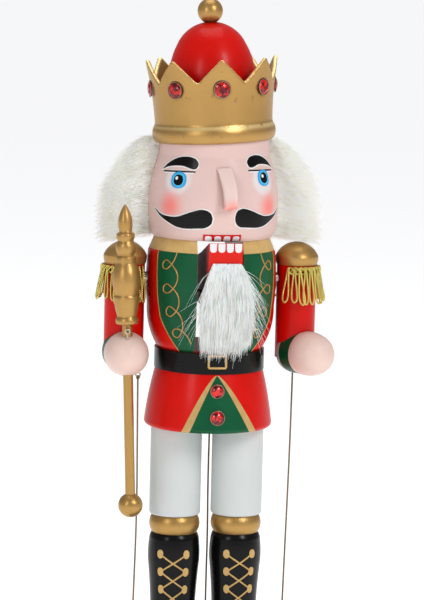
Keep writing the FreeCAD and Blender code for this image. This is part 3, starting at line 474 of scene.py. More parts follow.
def fur(name, base, shadow, glow=0.05, grain=(1.0, 1.0, 1.0)):
    """Long soft pile: tone varies in locks, light scatters about inside it, and a faint painted glow lifts it."""
    material, tree, shader = new_tree(name)
    coords = place_of(tree)[0]
    locks = clouds(tree, coords, 110.0, 4.0)
    along = add(tree, "ShaderNodeMapping", {"Vector": coords, "Scale": grain}).outputs[0]
    streaks = clouds(tree, along, 800.0, 2.0)
    pale = calc(tree, "ADD", calc(tree, "MULTIPLY", locks, 0.4), calc(tree, "MULTIPLY", streaks, 0.6))
    colour = blend_colour(tree, step(tree, pale, 0.36, 0.56), shadow, base)
    rough = calc(tree, "MULTIPLY_ADD", locks, 0.2, 0.45)
    # glow is emission: a painted glow that brightens the pile
    fill(tree, shader, {"Base Color": colour, "Roughness": rough, "Sheen Weight": 0.35, "Sheen Roughness": 0.4,
                        "Subsurface Weight": 0.25, "Subsurface Scale": 0.002, "Emission Color": colour,
                        "Emission Strength": glow})
    return material


def bullion():
    """Metallic thread twisted round a core; the colour bands along the twist are painted shade and painted
    highlight.
    """
    material, tree, shader = new_tree("bullion")
    coords = place_of(tree)[0]
    lean = add(tree, "ShaderNodeMapping", {"Vector": coords, "Rotation": (0.5, 0.6, 0.0)})
    twist = add(tree, "ShaderNodeTexWave", {"Vector": lean.outputs[0], "Scale": 420.0, "Distortion": 1.5},
                bands_direction="Z")
    # painted shade and highlight: dark olive and bright yellow along the twist
    colour = blend_colour(tree, twist.outputs[0], (0.30, 0.19, 0.01, 1), (1.0, 0.88, 0.26, 1))
    relief = add(tree, "ShaderNodeBump", {"Strength": 0.5, "Distance": 0.0003, "Height": twist.outputs[0]})
    rough = calc(tree, "MULTIPLY_ADD", twist.outputs[0], 0.15, 0.2)
    fill(tree, shader, {"Base Color": colour, "Metallic": 0.85, "Roughness": rough,
                        "Normal": relief.outputs[0]})
    return material


def waxed_cord():
    material, tree, shader = new_tree("waxed_cord")
    coords = place_of(tree)[0]
    lean = add(tree, "ShaderNodeMapping", {"Vector": coords, "Rotation": (0.0, 0.7, 0.0)})
    twist = add(tree, "ShaderNodeTexWave", {"Vector": lean.outputs[0], "Scale": 330.0}, bands_direction="Z")
    noise = clouds(tree, coords, 60.0)
    dark = blend_colour(tree, noise, (0.09, 0.05, 0.025, 1), (0.30, 0.19, 0.09, 1))
    colour = blend_colour(tree, calc(tree, "MULTIPLY", twist.outputs[0], 0.5), dark, (0.20, 0.13, 0.07, 1))
    relief = add(tree, "ShaderNodeBump", {"Strength": 0.6, "Distance": 0.0002, "Height": twist.outputs[0]})
    rough = calc(tree, "MULTIPLY_ADD", noise, 0.2, 0.4)
    fill(tree, shader, {"Base Color": colour, "Roughness": rough, "Normal": relief.outputs[0]})
    return material


# ---------------------------------------------------------------- places taken from the frame

class Skin:
    """The outer surface of a CAD piece, found by looking in at its upright axis."""

    def __init__(self, node, axis=(0.0, 0.0)):
        mesh = NODES[node].data
        self.tree = BVHTree.FromPolygons([v.co for v in mesh.vertices], [p.vertices for p in mesh.polygons])
        self.axis = Vector((axis[0], axis[1], 0))

    def at(self, turn, z, lift=0.0):
        out = Vector((math.sin(math.radians(turn)), -math.cos(math.radians(turn)), 0))
        start = self.axis + out * 0.2 + Vector((0, 0, z))
        hit = self.tree.ray_cast(start, -out)[0]
        if hit is None:
            raise RuntimeError(f"nothing at {turn}, {z}")
        return hit + out * lift


class FlatFront:
    """A flat front face; its "turn" is simply millimetres across."""

    def __init__(self, y):
        self.y = y

    def at(self, across, z, lift=0.0):
        return Vector((across * MM, self.y - lift, z))


HEAD_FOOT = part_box("torso")[1][2]
TORSO_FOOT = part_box("belt")[1][2]
ARM_SPREAD = (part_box("left_epaulette")[0][0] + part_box("left_epaulette")[1][0]) / 2
HAND_YAW = {"left": math.radians(27), "right": 0.0}
CUFF_END = 10.1 * MM
CUFF_SHADE_END = 1.5 * MM
EYE_TURN = 43.5
EYE_HEIGHT = 34.3 * MM
COAT_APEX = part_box("coat_skirt")[1][2] - 0.6 * MM
TRIANGLE_HALF = 16.8 * MM
TRIANGLE_LEAN = 1.8 * MM
COLLAR_LEVEL = 54.8 * MM
# edge of the torso's green panels: turn in degrees, height in mm above the belt
PANEL_EDGE = [(43, 0), (54, 12.5), (61, 22.5), (63.5, 40), (65, 55.5)]


# ---------------------------------------------------------------- mesh helpers

def deselect():
    if bpy.context.object and bpy.context.object.mode != "OBJECT":
        bpy.ops.object.mode_set(mode="OBJECT")
    bpy.ops.object.select_all(action="DESELECT")


def only(piece):
    deselect()
    piece.select_set(True)
    bpy.context.view_layer.objects.active = piece


def modified(piece, kind, **settings):
    modifier = piece.modifiers.new(kind, kind)
    for name, value in settings.items():
        setattr(modifier, name, value)
    only(piece)
    bpy.ops.object.modifier_apply(modifier=modifier.name)


def outward(piece):
    only(piece)
    bpy.ops.object.mode_set(mode="EDIT")
    bpy.ops.mesh.select_all(action="SELECT")
    bpy.ops.mesh.remove_doubles(threshold=1e-6)
    bpy.ops.mesh.normals_make_consistent(inside=False)
    bpy.ops.object.mode_set(mode="OBJECT")


def shade_smooth(piece):
    only(piece)
    bpy.ops.object.shade_smooth()


def copy_of(node):
    """A copy of a CAD piece, closed and free to be reshaped."""
    piece = NODES[node].copy()
    piece.data = NODES[node].data.copy()
    bpy.context.collection.objects.link(piece)
    outward(piece)
    return piece


def finished(piece, name, paint, body="figure"):
    piece.name = name
    piece.data.name = name
    piece.data.materials.clear()
    piece.data.materials.append(MATERIALS[paint])
    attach(piece, body)


def joined(pieces):
    deselect()
    for piece in pieces:
        piece.select_set(True)
    bpy.context.view_layer.objects.active = pieces[0]
    bpy.ops.object.join()
    return bpy.context.object


def smooth_line(points, share):
    """A point part of the way along a smooth line through the given ones."""
    spans = len(points) - 1
    span = min(int(share * spans), spans - 1)
    t = share * spans - span
    p = [np.array(points[min(max(span + k, 0), spans)], float) for k in (-1, 0, 1, 2)]
    return 0.5 * (2 * p[1] + (p[2] - p[0]) * t + (2 * p[0] - 5 * p[1] + 4 * p[2] - p[3]) * t * t
                  + (3 * p[1] - p[0] - 3 * p[2] + p[3]) * t ** 3)


def brush_stroke(skin, line, widths, radius, lift, thick=0.12 * MM, grow=0.0, blunt=(0.0, 1.0), steps=(40, 9)):
    """One stroke of thick paint that lies on a skin.

    line holds (turn, height above the floor in m), widths the half width in mm along it, radius
    the skin's radius, which turns degrees into length. blunt rounds the stroke off before the
    first share and after the second.
    """
    per_degree = math.radians(1) * radius / MM if radius else 1.0
    flat = [(turn * per_degree, z / MM) for turn, z in line]
    length = sum(math.dist(a, b) for a, b in zip(flat, flat[1:]))
    deselect()
    bpy.ops.mesh.primitive_grid_add(x_subdivisions=steps[0], y_subdivisions=steps[1], size=1)
    stroke = bpy.context.object
    for vertex in stroke.data.vertices:
        along, across = vertex.co.x + 0.5, vertex.co.y * 2
        if blunt == (0.5, 0.5):
            along = (1 - math.cos(math.pi * along)) / 2
        extended = min(max((along - 0.5) * (1 + 2 * grow / length) + 0.5, 0.0), 1.0)
        here = smooth_line(flat, extended)
        ahead = smooth_line(flat, min(extended + 0.01, 1.0)) - smooth_line(flat, max(extended - 0.01, 0.0))
        ahead /= max(np.linalg.norm(ahead), 1e-9)
        here = here + ahead * (along - 0.5) * 2 * grow * (1 if abs(along - 0.5) > 0.49 else 0)
        half = smooth_line([(w, 0) for w in widths], extended)[0]
        end = 0.0
        if along < blunt[0]:
            end = 1 - along / blunt[0]
        elif along > blunt[1]:
            end = (along - blunt[1]) / (1 - blunt[1])
        half = (half + grow) * math.sqrt(max(1 - end * end, 0.0)) if end else half + grow
        half = max(half, 0.02)
        spot = here + np.array([-ahead[1], ahead[0]]) * half * across
        vertex.co = skin.at(spot[0] / per_degree, spot[1] * MM, lift)
    modified(stroke, "SOLIDIFY", thickness=thick, offset=0)
    outward(stroke)
    shade_smooth(stroke)
    return stroke


def thread(paths, radius, order=3, sides=1, tapers=None, cyclic=False, resolution=4):
    """Round threads along lists of points, as one mesh."""
    curve = bpy.data.curves.new("thread", "CURVE")
    curve.dimensions = "3D"
    curve.bevel_depth = radius
    curve.bevel_resolution = sides
    curve.use_fill_caps = not cyclic
    curve.resolution_u = resolution
    for number, path in enumerate(paths):
        spline = curve.splines.new("NURBS" if order > 2 else "POLY")
        spline.points.add(len(path) - 1)
        spline.points.foreach_set("co", [c for point in path for c in (*point, 1.0)])
        if tapers is not None:
            spline.points.foreach_set("radius", tapers)
        if order > 2:
            spline.order_u = order
            spline.use_endpoint_u = not cyclic
        spline.use_cyclic_u = cyclic
    piece = bpy.data.objects.new("thread", curve)
    bpy.context.collection.objects.link(piece)
    only(piece)
    bpy.ops.object.convert(target="MESH")
    piece = bpy.context.object
    bpy.ops.object.shade_smooth()
    return piece


# ---------------------------------------------------------------- softened wood

def softened(node, paint, voxel, rounds, body="figure"):
    """The CAD piece with its sharp corners sanded round under the paint."""
    piece = copy_of(node)
    modified(piece, "REMESH", mode="VOXEL", voxel_size=voxel)
    modified(piece, "SMOOTH", factor=0.5, iterations=rounds)
    shade_smooth(piece)
    finished(piece, node + "_sanded", paint, body)
    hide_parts(node)
    return piece


def hook_nose(nose):
    """Broad at the root and bowed out half way down, with its tip tucked up."""
    low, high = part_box("nose")
    middle, height = (low[0] + high[0]) / 2, high[2] - low[2]
    for vertex in nose.data.vertices:
        share = (high[2] - vertex.co.z) / height
        centre = middle + (share - 0.5) * 3.2 * MM
        bow = math.sin(math.pi * min(max(share, 0), 1))
        vertex.co.x = centre + (vertex.co.x - centre) * (1.28 - 0.28 * share) + 1.2 * MM * bow
        if vertex.co.y < -32 * MM:
            vertex.co.y -= 1.9 * MM * bow
        vertex.co.z = high[2] - share * height * 0.88


# ---------------------------------------------------------------- painted face

FACE_RADIUS = 34.5 * MM
OUTLINE_WIDTH = 0.62
# Brows and moustache: (turn, height above the head's foot in mm) from the outer tip inwards, then
# half widths in mm. The two sides were painted by hand and differ: each has its inner ends, and how
# far its brow, lid, eye and moustache sit below these heights.
BROW = [(65, 39.8), (58, 42.2), (49, 44.0), (40, 44.7)]
BROW_WIDTHS = [0.1, 1.0, 1.9, 2.5, 2.9, 2.5]
MOUSTACHE = [(70.5, 17.6), (66, 16.3), (60, 14.2), (50, 12.4), (41, 11.5), (33, 11.9), (24.5, 13.0), (17.5, 13.7)]
MOUSTACHE_WIDTHS = [0.1, 0.35, 0.75, 1.7, 2.9, 3.9, 4.7, 5.1, 4.6]
LID, LID_WIDTHS = [(63, 38.3), (44, 38.7), (26, 38.9)], [0.35, 0.42, 0.35]
LID_LINE, LID_LINE_WIDTHS = [(62, 37.6), (44, 38.0), (27, 38.2)], [0.3, 0.35, 0.3]
FACE_SIDES = {"left": {"brow_end": 26.0, "brow": 0.9, "lid": 0.6, "moustache": 0.6, "moustache_end": 11.0,
                       "eye_turn": 44.6, "eye": 0.2},
              "right": {"brow_end": 24.0, "brow": 2.2, "lid": 1.7, "moustache": 1.4, "moustache_end": 8.6,
                        "eye_turn": -42.2, "eye": 1.8}}
# name, paint, half width and half height in mm, lift in mm, then turn and rise from the eye's middle;
# both eyes have their light on the same side, so the glint is not mirrored
EYE_DISCS = (("iris", "blue_paint", 4.9, 4.45, 0.14, 0, 0), ("iris_light", "pale_blue_paint", 3.9, 3.6, 0.2, 0, 0),
             ("pupil", "black_paint", 2.95, 2.9, 0.26, 0, 0), ("glint", "white_line", 0.85, 0.9, 0.36, -1.9, 1.0))
UPPER_TEETH_TURNS = (-12.2, -3.7, 4.8, 13.3)


def face_line(sign, points, drop):
    return [(sign * turn, HEAD_FOOT + (height - drop) * MM) for turn, height in points]


def make_face():
    """Brows, lids, eyes, moustache and upper teeth, laid on as thick paint."""
    skin = Skin("head")
    for side, sign in SIDES:
        face = FACE_SIDES[side]
        brow = BROW + [(face["brow_end"] + 7, 44.0), (face["brow_end"], 42.1)]
        moustache = MOUSTACHE + [(face["moustache_end"], 14.0)]
        for name, points, widths, blunt in (("brow", brow, BROW_WIDTHS, (0, 0.84)),
                                            ("moustache", moustache, MOUSTACHE_WIDTHS, (0, 0.87))):
            line = face_line(sign, points, face[name])
            outline = brush_stroke(skin, line, widths, FACE_RADIUS, 0.06 * MM, grow=OUTLINE_WIDTH, blunt=blunt,
                                   steps=(48, 11))
            finished(outline, f"{side}_{name}_outline", "white_line")
            stroke = brush_stroke(skin, line, widths, FACE_RADIUS, 0.16 * MM, blunt=blunt, steps=(48, 11))
            finished(stroke, f"{side}_{name}", "black_paint")
        lid = brush_stroke(skin, face_line(sign, LID, face["lid"]), LID_WIDTHS, FACE_RADIUS, 0.12 * MM,
                           steps=(24, 3))
        finished(lid, f"{side}_lid", "black_paint")
        under = brush_stroke(skin, face_line(sign, LID_LINE, face["lid"]), LID_LINE_WIDTHS, FACE_RADIUS, 0.07 * MM,
                             steps=(24, 3))
        finished(under, f"{side}_lid_line", "white_line")
        for name, paint, wide, high, lift, turn, rise in EYE_DISCS:
            centre = face["eye_turn"] + turn
            reach = wide / (math.radians(1) * FACE_RADIUS / MM)
            level = HEAD_FOOT + EYE_HEIGHT + (rise - face["eye"]) * MM
            disc = brush_stroke(skin, [(centre - reach, level), (centre, level), (centre + reach, level)],
                                [high] * 3, FACE_RADIUS, lift * MM, blunt=(0.5, 0.5), steps=(25, 15))
            finished(disc, f"{side}_{name}", paint)
    mouth = brush_stroke(skin, [(0.6, HEAD_FOOT + 4.0 * MM), (0.6, HEAD_FOOT + 0.5 * MM)], [10.4, 10.9],
                         FACE_RADIUS, 0.08 * MM, steps=(10, 30))
    finished(mouth, "upper_mouth", "mouth_paint")
    for number, turn in enumerate(UPPER_TEETH_TURNS, start=1):
        tooth = brush_stroke(skin, [(turn, HEAD_FOOT + 3.2 * MM), (turn, HEAD_FOOT + 0.5 * MM)], [1.85, 1.85],
                             FACE_RADIUS, 0.18 * MM, blunt=(0.42, 1), steps=(14, 9))
        finished(tooth, f"upper_tooth_{number}", "tooth_paint")


TOOTH_PITCH, TOOTH_LENGTH = 4.55, 4.9 * MM


def make_lower_teeth():
    """Four white teeth at the top of the jaw board's front."""
    low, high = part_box("jaw_lever")
    front = FlatFront(low[1])
    middle, top = (low[0] + high[0]) / 2 / MM, high[2] - 0.2 * MM
    for number in range(4):
        across = middle + (number - 1.5) * TOOTH_PITCH
        tooth = brush_stroke(front, [(across, top), (across, top - TOOTH_LENGTH)], [1.95, 1.8], 0, 0.08 * MM,
                             thick=0.3 * MM, blunt=(0, 0.62), steps=(14, 9))
        finished(tooth, f"lower_tooth_{number + 1}", "tooth_paint", "jaw")


# ---------------------------------------------------------------- painted body

# a vine from the collar down: turn in degrees, height above the belt in mm
VINE = [(41.4, 54.8), (42.4, 51.8), (45.0, 49.0), (48.8, 46.4), (53, 45.0), (56.8, 46.4), (56.2, 49.2),
        (52, 50.6), (48, 49.2), (43.5, 47.0), (39.6, 44.0), (38.6, 40.4), (41.4, 36.6), (45.4, 33.9),
        (50.0, 32.1), (54.8, 33.0), (54.6, 36.3), (50.2, 37.7), (46, 36.3), (41, 34.0), (37.6, 31.0),
        (37.0, 27.0), (39.8, 23.2), (43.4, 21.0), (47.2, 19.5), (51.8, 20.8), (51.2, 24.2), (47.0, 25.6),
        (42.8, 24.0), (37.6, 21.8), (34.2, 18.6), (33.6, 14.4), (36, 11.0), (39.8, 8.2), (44.8, 8.7),
        (46.0, 11.5), (42.2, 13.5), (37, 13.2), (32, 11.2), (28.5, 8.4), (27.2, 5.4)]


def make_vines():
    """A curling gold vine down each green panel, and a gold line along its edge."""
    skin = Skin("torso")
    for side, sign in SIDES:
        path = [skin.at(sign * turn, TORSO_FOOT + height * MM, 0.05 * MM) for turn, height in VINE]
        finished(thread([path], 0.43 * MM, sides=2), f"{side}_vine", "gold_paint")
        spots = [smooth_line(PANEL_EDGE, k / 30) for k in range(31)]
        edge = [skin.at(sign * turn, TORSO_FOOT + (0.4 + height * 0.97) * MM) for turn, height in spots]
        finished(thread([edge], 0.36 * MM, sides=2), f"{side}_panel_edge", "gold_paint")


def make_buckle():
    """A painted gold frame, a little above the belt's middle."""
    skin = Skin("belt")
    low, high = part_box("belt")
    middle = (low[2] + high[2]) / 2 + 1.3 * MM
    half_turn, half_height, line = 9.0, 3.3 * MM, 0.56
    corners = [(turn * half_turn, middle + rise * half_height)
               for turn, rise in ((-1, -1), (1, -1), (1, 1), (-1, 1))]
    bars = [brush_stroke(skin, [corners[k], corners[(k + 1) % 4]], [line, line], high[0], 0.1 * MM,
                         thick=0.3 * MM, steps=(16, 3)) for k in range(4)]
    finished(joined(bars), "belt_buckle", "line_gold")


LACE_TOP, LACE_ROW = 10.5 * MM, 10 * MM
LACE_TURN = 30
LACE_MIDDLE = {"left": 1.7, "right": -9.0}
BOOT_RADIUS = 14 * MM


def make_lacing():
    """Gold eyelets in rows with crossed laces between them, on the front of each boot."""
    reach = 1.75 * MM / (math.radians(1) * BOOT_RADIUS)
    for side, _ in SIDES:
        low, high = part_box(f"{side}_boot")
        skin = Skin(f"{side}_boot", ((low[0] + high[0]) / 2, (low[1] + high[1]) / 2))
        dots, laces = [], []
        for row in range(4):
            z = high[2] - LACE_TOP - LACE_ROW * row
            for hand in (-1, 1):
                turn = LACE_MIDDLE[side] + hand * LACE_TURN
                dots.append(brush_stroke(skin, [(turn - reach, z), (turn, z), (turn + reach, z)], [2.5] * 3,
                                         BOOT_RADIUS, 0.1 * MM, thick=0.3 * MM, blunt=(0.5, 0.5), steps=(13, 9)))
                if row < 3:
                    laces.append([skin.at(LACE_MIDDLE[side] + hand * LACE_TURN * (1 - k / 3), z - LACE_ROW * k / 6)
                                  for k in range(7)])
        finished(joined(dots), f"{side}_boot_eyelets", "line_gold")
        finished(thread(laces, 0.5 * MM, sides=2), f"{side}_boot_laces", "line_gold")


def make_base_line():
    """A gold line round the top of the base, with rounded corners."""
    low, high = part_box("base_plate")
    inset, corner, z = 3.2 * MM, 4 * MM, high[2]
    left, right, front, back = low[0] + inset, high[0] - inset, low[1] + inset, high[1] - inset
    path = []
    for x, y, start in ((right, back, 0), (left, back, 90), (left, front, 180), (right, front, 270)):
        centre = (x - math.copysign(corner, x), y - math.copysign(corner, y))
        for angle in (0, 30, 60, 90):
            path.append((centre[0] + corner * math.cos(math.radians(start + angle)),
                         centre[1] + corner * math.sin(math.radians(start + angle)), z))
    line = thread([path], 0.5 * MM, order=2, sides=2, cyclic=True)
    finished(line, "base_gold_line", "gold_paint")


# ---------------------------------------------------------------- stones

def stone_places(node, count):
    """The middle and outward direction of each CAD stone."""
    points = np.array([v.co for v in NODES[node].data.vertices])
    places = []
    if node == "coat_jewels":
        halves = (points[:, 2] > points[:, 2].mean(), points[:, 2] <= points[:, 2].mean())
        return [(points[half].mean(0), np.array((0, -1, 0))) for half in halves]
    middle = points.mean(0)
    angles = np.arctan2(points[:, 0] - middle[0], -(points[:, 1] - middle[1]))
    group = np.round(angles / (2 * math.pi / count)).astype(int) % count
    for k in range(count):
        centre = points[group == k].mean(0)
        out = centre - middle
        places.append((centre, out / np.linalg.norm(out)))
    return places


def make_stones(node, count, radius_mm, deep):
    """Round-cut stones, each in a thin bright setting."""
    stones, settings = [], []
    for number, (centre, out) in enumerate(stone_places(node, count)):
        radius = radius_mm[number % len(radius_mm)] * MM
        turn = Vector(out).to_track_quat("Z", "Y").to_matrix().to_4x4()
        place = Matrix.Translation(Vector(centre) - Vector(out) * deep) @ turn
        deselect()
        bpy.ops.mesh.primitive_circle_add(vertices=12, radius=radius, fill_type="NGON")
        stone = bpy.context.object
        bpy.ops.object.mode_set(mode="EDIT")
        for rise, size, spin in ((0.7, 1.0, 0), (0.75, 0.74, 15), (0.45, 0.66, 15)):
            bpy.ops.mesh.extrude_region_move(TRANSFORM_OT_translate={"value": (0, 0, rise * MM)})
            bpy.ops.transform.resize(value=(size, size, 1))
            bpy.ops.transform.rotate(value=math.radians(spin), orient_axis="Z", center_override=(0, 0, 0))
        bpy.ops.mesh.select_all(action="SELECT")
        bpy.ops.mesh.convex_hull()
        bpy.ops.object.mode_set(mode="OBJECT")
        stone.data.transform(place)
        stones.append(stone)
        deselect()
        bpy.ops.mesh.primitive_torus_add(major_radius=radius + 0.1 * MM, minor_radius=0.28 * MM,
                                         major_segments=32, minor_segments=8)
        ring = bpy.context.object
        ring.data.transform(place @ Matrix.Translation((0, 0, 0.75 * MM)))
        bpy.ops.object.shade_smooth()
        settings.append(ring)
    stone = joined(stones)
    finished(stone, node + "_cut", "red_stone")
    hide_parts(node)
    finished(joined(settings), node + "_settings", "setting")


# ---------------------------------------------------------------- fur

# the hair is an upright egg: half sizes along X, Y and Z, and its middle behind and above the head's foot
HAIR_HALF = (62.3 * MM, 44 * MM, 50 * MM)
HAIR_BACK, HAIR_RISE = 13 * MM, 13 * MM
HAIR_FRONT = -6 * MM
HAIR_STRAND, STRAY_STRAND = 0.17 * MM, 0.10 * MM
# name, first and last turn in degrees, and how many strands
HAIR_REGIONS = (("left_front", 56, 92, 5200), ("left_side", 84, 142, 4600), ("back", 136, 224, 5200),
                ("right_side", 218, 276, 4600), ("right_front", 268, 304, 5200))
# the beard's half width in mm at drops below its top
BEARD_DROPS, BEARD_HALVES = (0, 6, 15, 27, 38, 50), (8.6, 11.5, 14.2, 15.2, 14.8, 12.5)
BEARD_STRANDS, BEARD_STRAYS = 5200, 64
BEARD_LEAN = 0.9


def combed(name, paths, radius, paint, body="figure"):
    """Many fine tapering hairs as one piece."""
    steps = len(paths[0])
    tapers = [1.0 - 0.8 * (k / (steps - 1)) ** 1.5 for k in range(steps)]
    finished(thread(paths, radius, order=2, sides=0, tapers=tapers), name, paint, body)


def hair_shell(turn, height):
    """A point on the outside of the hair: turn round it, and height above the floor."""
    shell = math.sqrt(max(1 - ((height - HEAD_FOOT - HAIR_RISE) / HAIR_HALF[2]) ** 2, 0.1))
    x = math.sin(turn) * HAIR_HALF[0] * shell
    y = HAIR_BACK - math.cos(turn) * HAIR_HALF[1] * shell
    return np.array((x, max(y, HAIR_FRONT), height))


def make_hair():
    """A soft core, with hair combed outwards and down from the head, ear to ear round the back."""
    low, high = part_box("hair")
    core = copy_of("hair")
    modified(core, "REMESH", mode="VOXEL", voxel_size=2.2 * MM)
    middle = Vector((0, HAIR_BACK, (low[2] + high[2]) / 2))
    for vertex in core.data.vertices:
        if math.hypot(vertex.co.x, vertex.co.y) > 38 * MM:
            vertex.co = middle + (vertex.co - middle) * 0.88
        vertex.co.y = max(vertex.co.y, -0.5 * MM)
    modified(core, "SMOOTH", factor=0.6, iterations=6)
    shade_smooth(core)
    finished(core, "hair_core", "hair_core")
    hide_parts("hair")
    skin = Skin("head")
    locks = dice.normal(0, 1, (90, 3))
    above_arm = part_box("left_epaulette")[1][2] + 0.8 * MM
    for name, first, last, count in HAIR_REGIONS:
        paths = []
        for _ in range(count):
            around = dice.uniform(first, last)
            height = dice.uniform(low[2] + 1 * MM, high[2] + 0.5 * MM)
            # the roots' band is glued on further back than the tips reach forward
            root_turn = 180 + (around - 180) * (92 / 124)
            root_height = height + dice.uniform(-1, 4) * MM
            root_height = min(max(root_height, HEAD_FOOT + 1 * MM), HEAD_FOOT + 50 * MM)
            root = np.array(skin.at(root_turn, root_height))
            tip = hair_shell(math.radians(around + dice.normal(0, 2)), height)
            lock = locks[int(around * 0.7 + height * 900) % 90]
            swirl = (lock * 1.1 + dice.normal(0, 1.0, 3)) * MM
            reach = dice.uniform(0.72, 0.99) if dice.random() < 0.8 else dice.uniform(0.98, 1.03)
            tip = root + (tip - root) * reach + swirl + np.array((0, 0, -2.0 * MM))
            tip[1] = max(tip[1], HAIR_FRONT - 2.5 * MM)
            # the lowest strands droop over the shoulders, but stay clear of the epaulettes
            tip[2] -= 6.5 * MM * max(1 - (height - low[2]) / (18 * MM), 0)
            over_arm = math.hypot(abs(tip[0]) - ARM_SPREAD, tip[1]) < 18 * MM
            lowest = above_arm if over_arm else low[2] - 5 * MM
            tip[2] = min(max(tip[2], lowest), high[2] + 1.5 * MM)
            lift = np.array((0, 0, dice.uniform(1.0, 3.5) * MM))
            paths.append([tuple(root + (tip - root) * share + lift * 4 * share * (1 - share))
                          for share in (0.0, 0.3, 0.6, 0.82, 1.0)])
        combed(f"hair_{name}", paths, HAIR_STRAND, "hair")


def beard_edge(drop):
    """Half the beard's width at a drop below its top, in mm."""
    return float(np.interp(drop, BEARD_DROPS, BEARD_HALVES))


def make_beard():
    """Fur glued down the front of the jaw board in layers, fuller half way down."""
    low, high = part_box("beard")
    middle = (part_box("jaw_lever")[0][0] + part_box("jaw_lever")[1][0]) / 2
    back, top = high[1], high[2]
    core = copy_of("beard")
    modified(core, "REMESH", mode="VOXEL", voxel_size=1.4 * MM)
    for vertex in core.data.vertices:
        vertex.co.x = middle + (vertex.co.x - middle) * 0.62
        vertex.co.z = top - 5 * MM + (vertex.co.z - top) * 0.68
        vertex.co.y = back + (vertex.co.y - back) * 0.36
    modified(core, "SMOOTH", factor=0.6, iterations=10)
    finished(core, "beard_core", "hair_core", "jaw")
    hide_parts("beard")
    locks = dice.normal(0, 1, (60, 2))
    paths = []
    for _ in range(BEARD_STRANDS):
        drop = 33 * dice.random() ** 1.25
        side = dice.uniform(-1, 1)
        lock = locks[int((side + 1) * 5.4 + drop * 0.55) % 60]
        length = dice.uniform(15, 22) + 2.5 * lock[0] + (dice.exponential(4.0) if dice.random() < 0.12 else 0)
        end_drop = min(drop + length, 43 + 5 * (1 - side * side) + dice.exponential(3.0))
        depth = 3.6 * dice.random() * math.sin(math.pi * min(drop / 40 + 0.06, 1))
        root = np.array((side * beard_edge(drop) * 0.9, -0.6 - depth, -drop - 0.2))
        spread = side * beard_edge(end_drop) * dice.uniform(0.86, 1.06) + 1.1 * lock[1] + dice.normal(0, 0.5)
        tip = np.array((spread - 0.03 * end_drop, root[1] - dice.uniform(1.0, 3.4), -end_drop))
        bow = dice.uniform(1.2, 2.8)
        path = []
        for share in (0.0, 0.25, 0.5, 0.75, 1.0):
            point = root + (tip - root) * share
            point[1] -= bow * 4 * share * (1 - share) * 0.8
            path.append((middle + (point[0] + BEARD_LEAN) * MM, back + point[1] * MM, top + point[2] * MM))
        paths.append(path)
    combed("beard_fur", paths, HAIR_STRAND, "beard", "jaw")
    strays = []
    for number in range(BEARD_STRAYS):
        side = -1 if number % 5 == 0 else 1
        drop = dice.uniform(2, 36)
        root = np.array((side * beard_edge(drop) * 0.85, -2.5, -drop))
        reach, fall = dice.uniform(6, 13.5), dice.uniform(7, 22)
        strays.append([(middle + (root[0] + side * reach * share) * MM,
                        back + (root[1] - 1.5 * math.sin(3 * share)) * MM,
                        top + (root[2] - fall * share ** 1.5) * MM) for share in (0, 0.25, 0.5, 0.75, 1.0)])
    combed("beard_strays", strays, STRAY_STRAND, "beard", "jaw")


# ---------------------------------------------------------------- fringes

# one loop: turn across it in degrees, share of its drop, distance from the arm's middle in mm
FRINGE_LOOP = ((0, -0.02, 12.1), (-1.5, 0.3, 13.2), (-4.5, 0.65, 14.6), (-4.0, 0.9, 15.5), (1.5, 1.0, 15.8),
               (7.5, 0.9, 15.4), (7.5, 0.65, 14.4), (4.2, 0.3, 13.3), (2.8, -0.02, 12.2))


FRINGE_LOOPS, FRINGE_STEP = 25, 14.4
FRINGE_DROP = (17.6, 20.2)
LOOP_WIRE, BRAID_WIRE = 0.54 * MM, 0.5 * MM
# loops stay this far from the figure's middle, clear of the torso, and short of the sceptre
FRINGE_INNER, FRINGE_AT_SCEPTRE, FRINGE_OUTER = 36.6 * MM, 13.0, 16.1
BRAID_HALF_TURN, BRAID_WAVES = 118, 9


def make_fringe(side, sign):
    """Bullion loops hung from a braid under the epaulette, open on the torso's side."""
    low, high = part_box(f"{side}_fringe")
    axis_x = sign * ARM_SPREAD
    top = high[2] - 0.6 * MM

    def ring_point(turn, radius, z):
        out = math.radians(turn)
        return (axis_x + sign * radius * math.cos(out), radius * math.sin(out), z)

    loops = []
    for number in range(FRINGE_LOOPS):
        turn = -180 + number * FRINGE_STEP + dice.normal(0, 2.0)
        near_sceptre = side == "right" and 215 < (turn % 360) < 325
        drop = dice.uniform(*FRINGE_DROP) * MM
        lean = dice.normal(0, 5.0)
        path = []
        for across, share, radius in FRINGE_LOOP:
            radius = min(radius + dice.normal(0, 0.2), FRINGE_AT_SCEPTRE if near_sceptre else FRINGE_OUTER)
            path.append(ring_point(turn + across + lean * share, radius * MM, top - 0.2 * MM - drop * share))
        if min(abs(point[0]) for point in path) > FRINGE_INNER:
            loops.append(path)
    braid = []
    for phase in range(3):
        path = []
        for number in range(121):
            turn = -BRAID_HALF_TURN + 2 * BRAID_HALF_TURN * number / 120
            wave = math.radians(turn * BRAID_WAVES + phase * 120)
            path.append(ring_point(turn, (12.4 + 0.75 * math.cos(wave)) * MM,
                                   top - (1.6 + 1.8 * math.sin(wave)) * MM))
        braid.append(path)
    piece = joined([thread(loops, LOOP_WIRE, sides=1, resolution=3),
                    thread(braid, BRAID_WIRE, sides=1, resolution=2)])
    finished(piece, f"{side}_bullion", "bullion", f"{side}_arm")
    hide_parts(f"{side}_fringe")


# ---------------------------------------------------------------- hanging cords

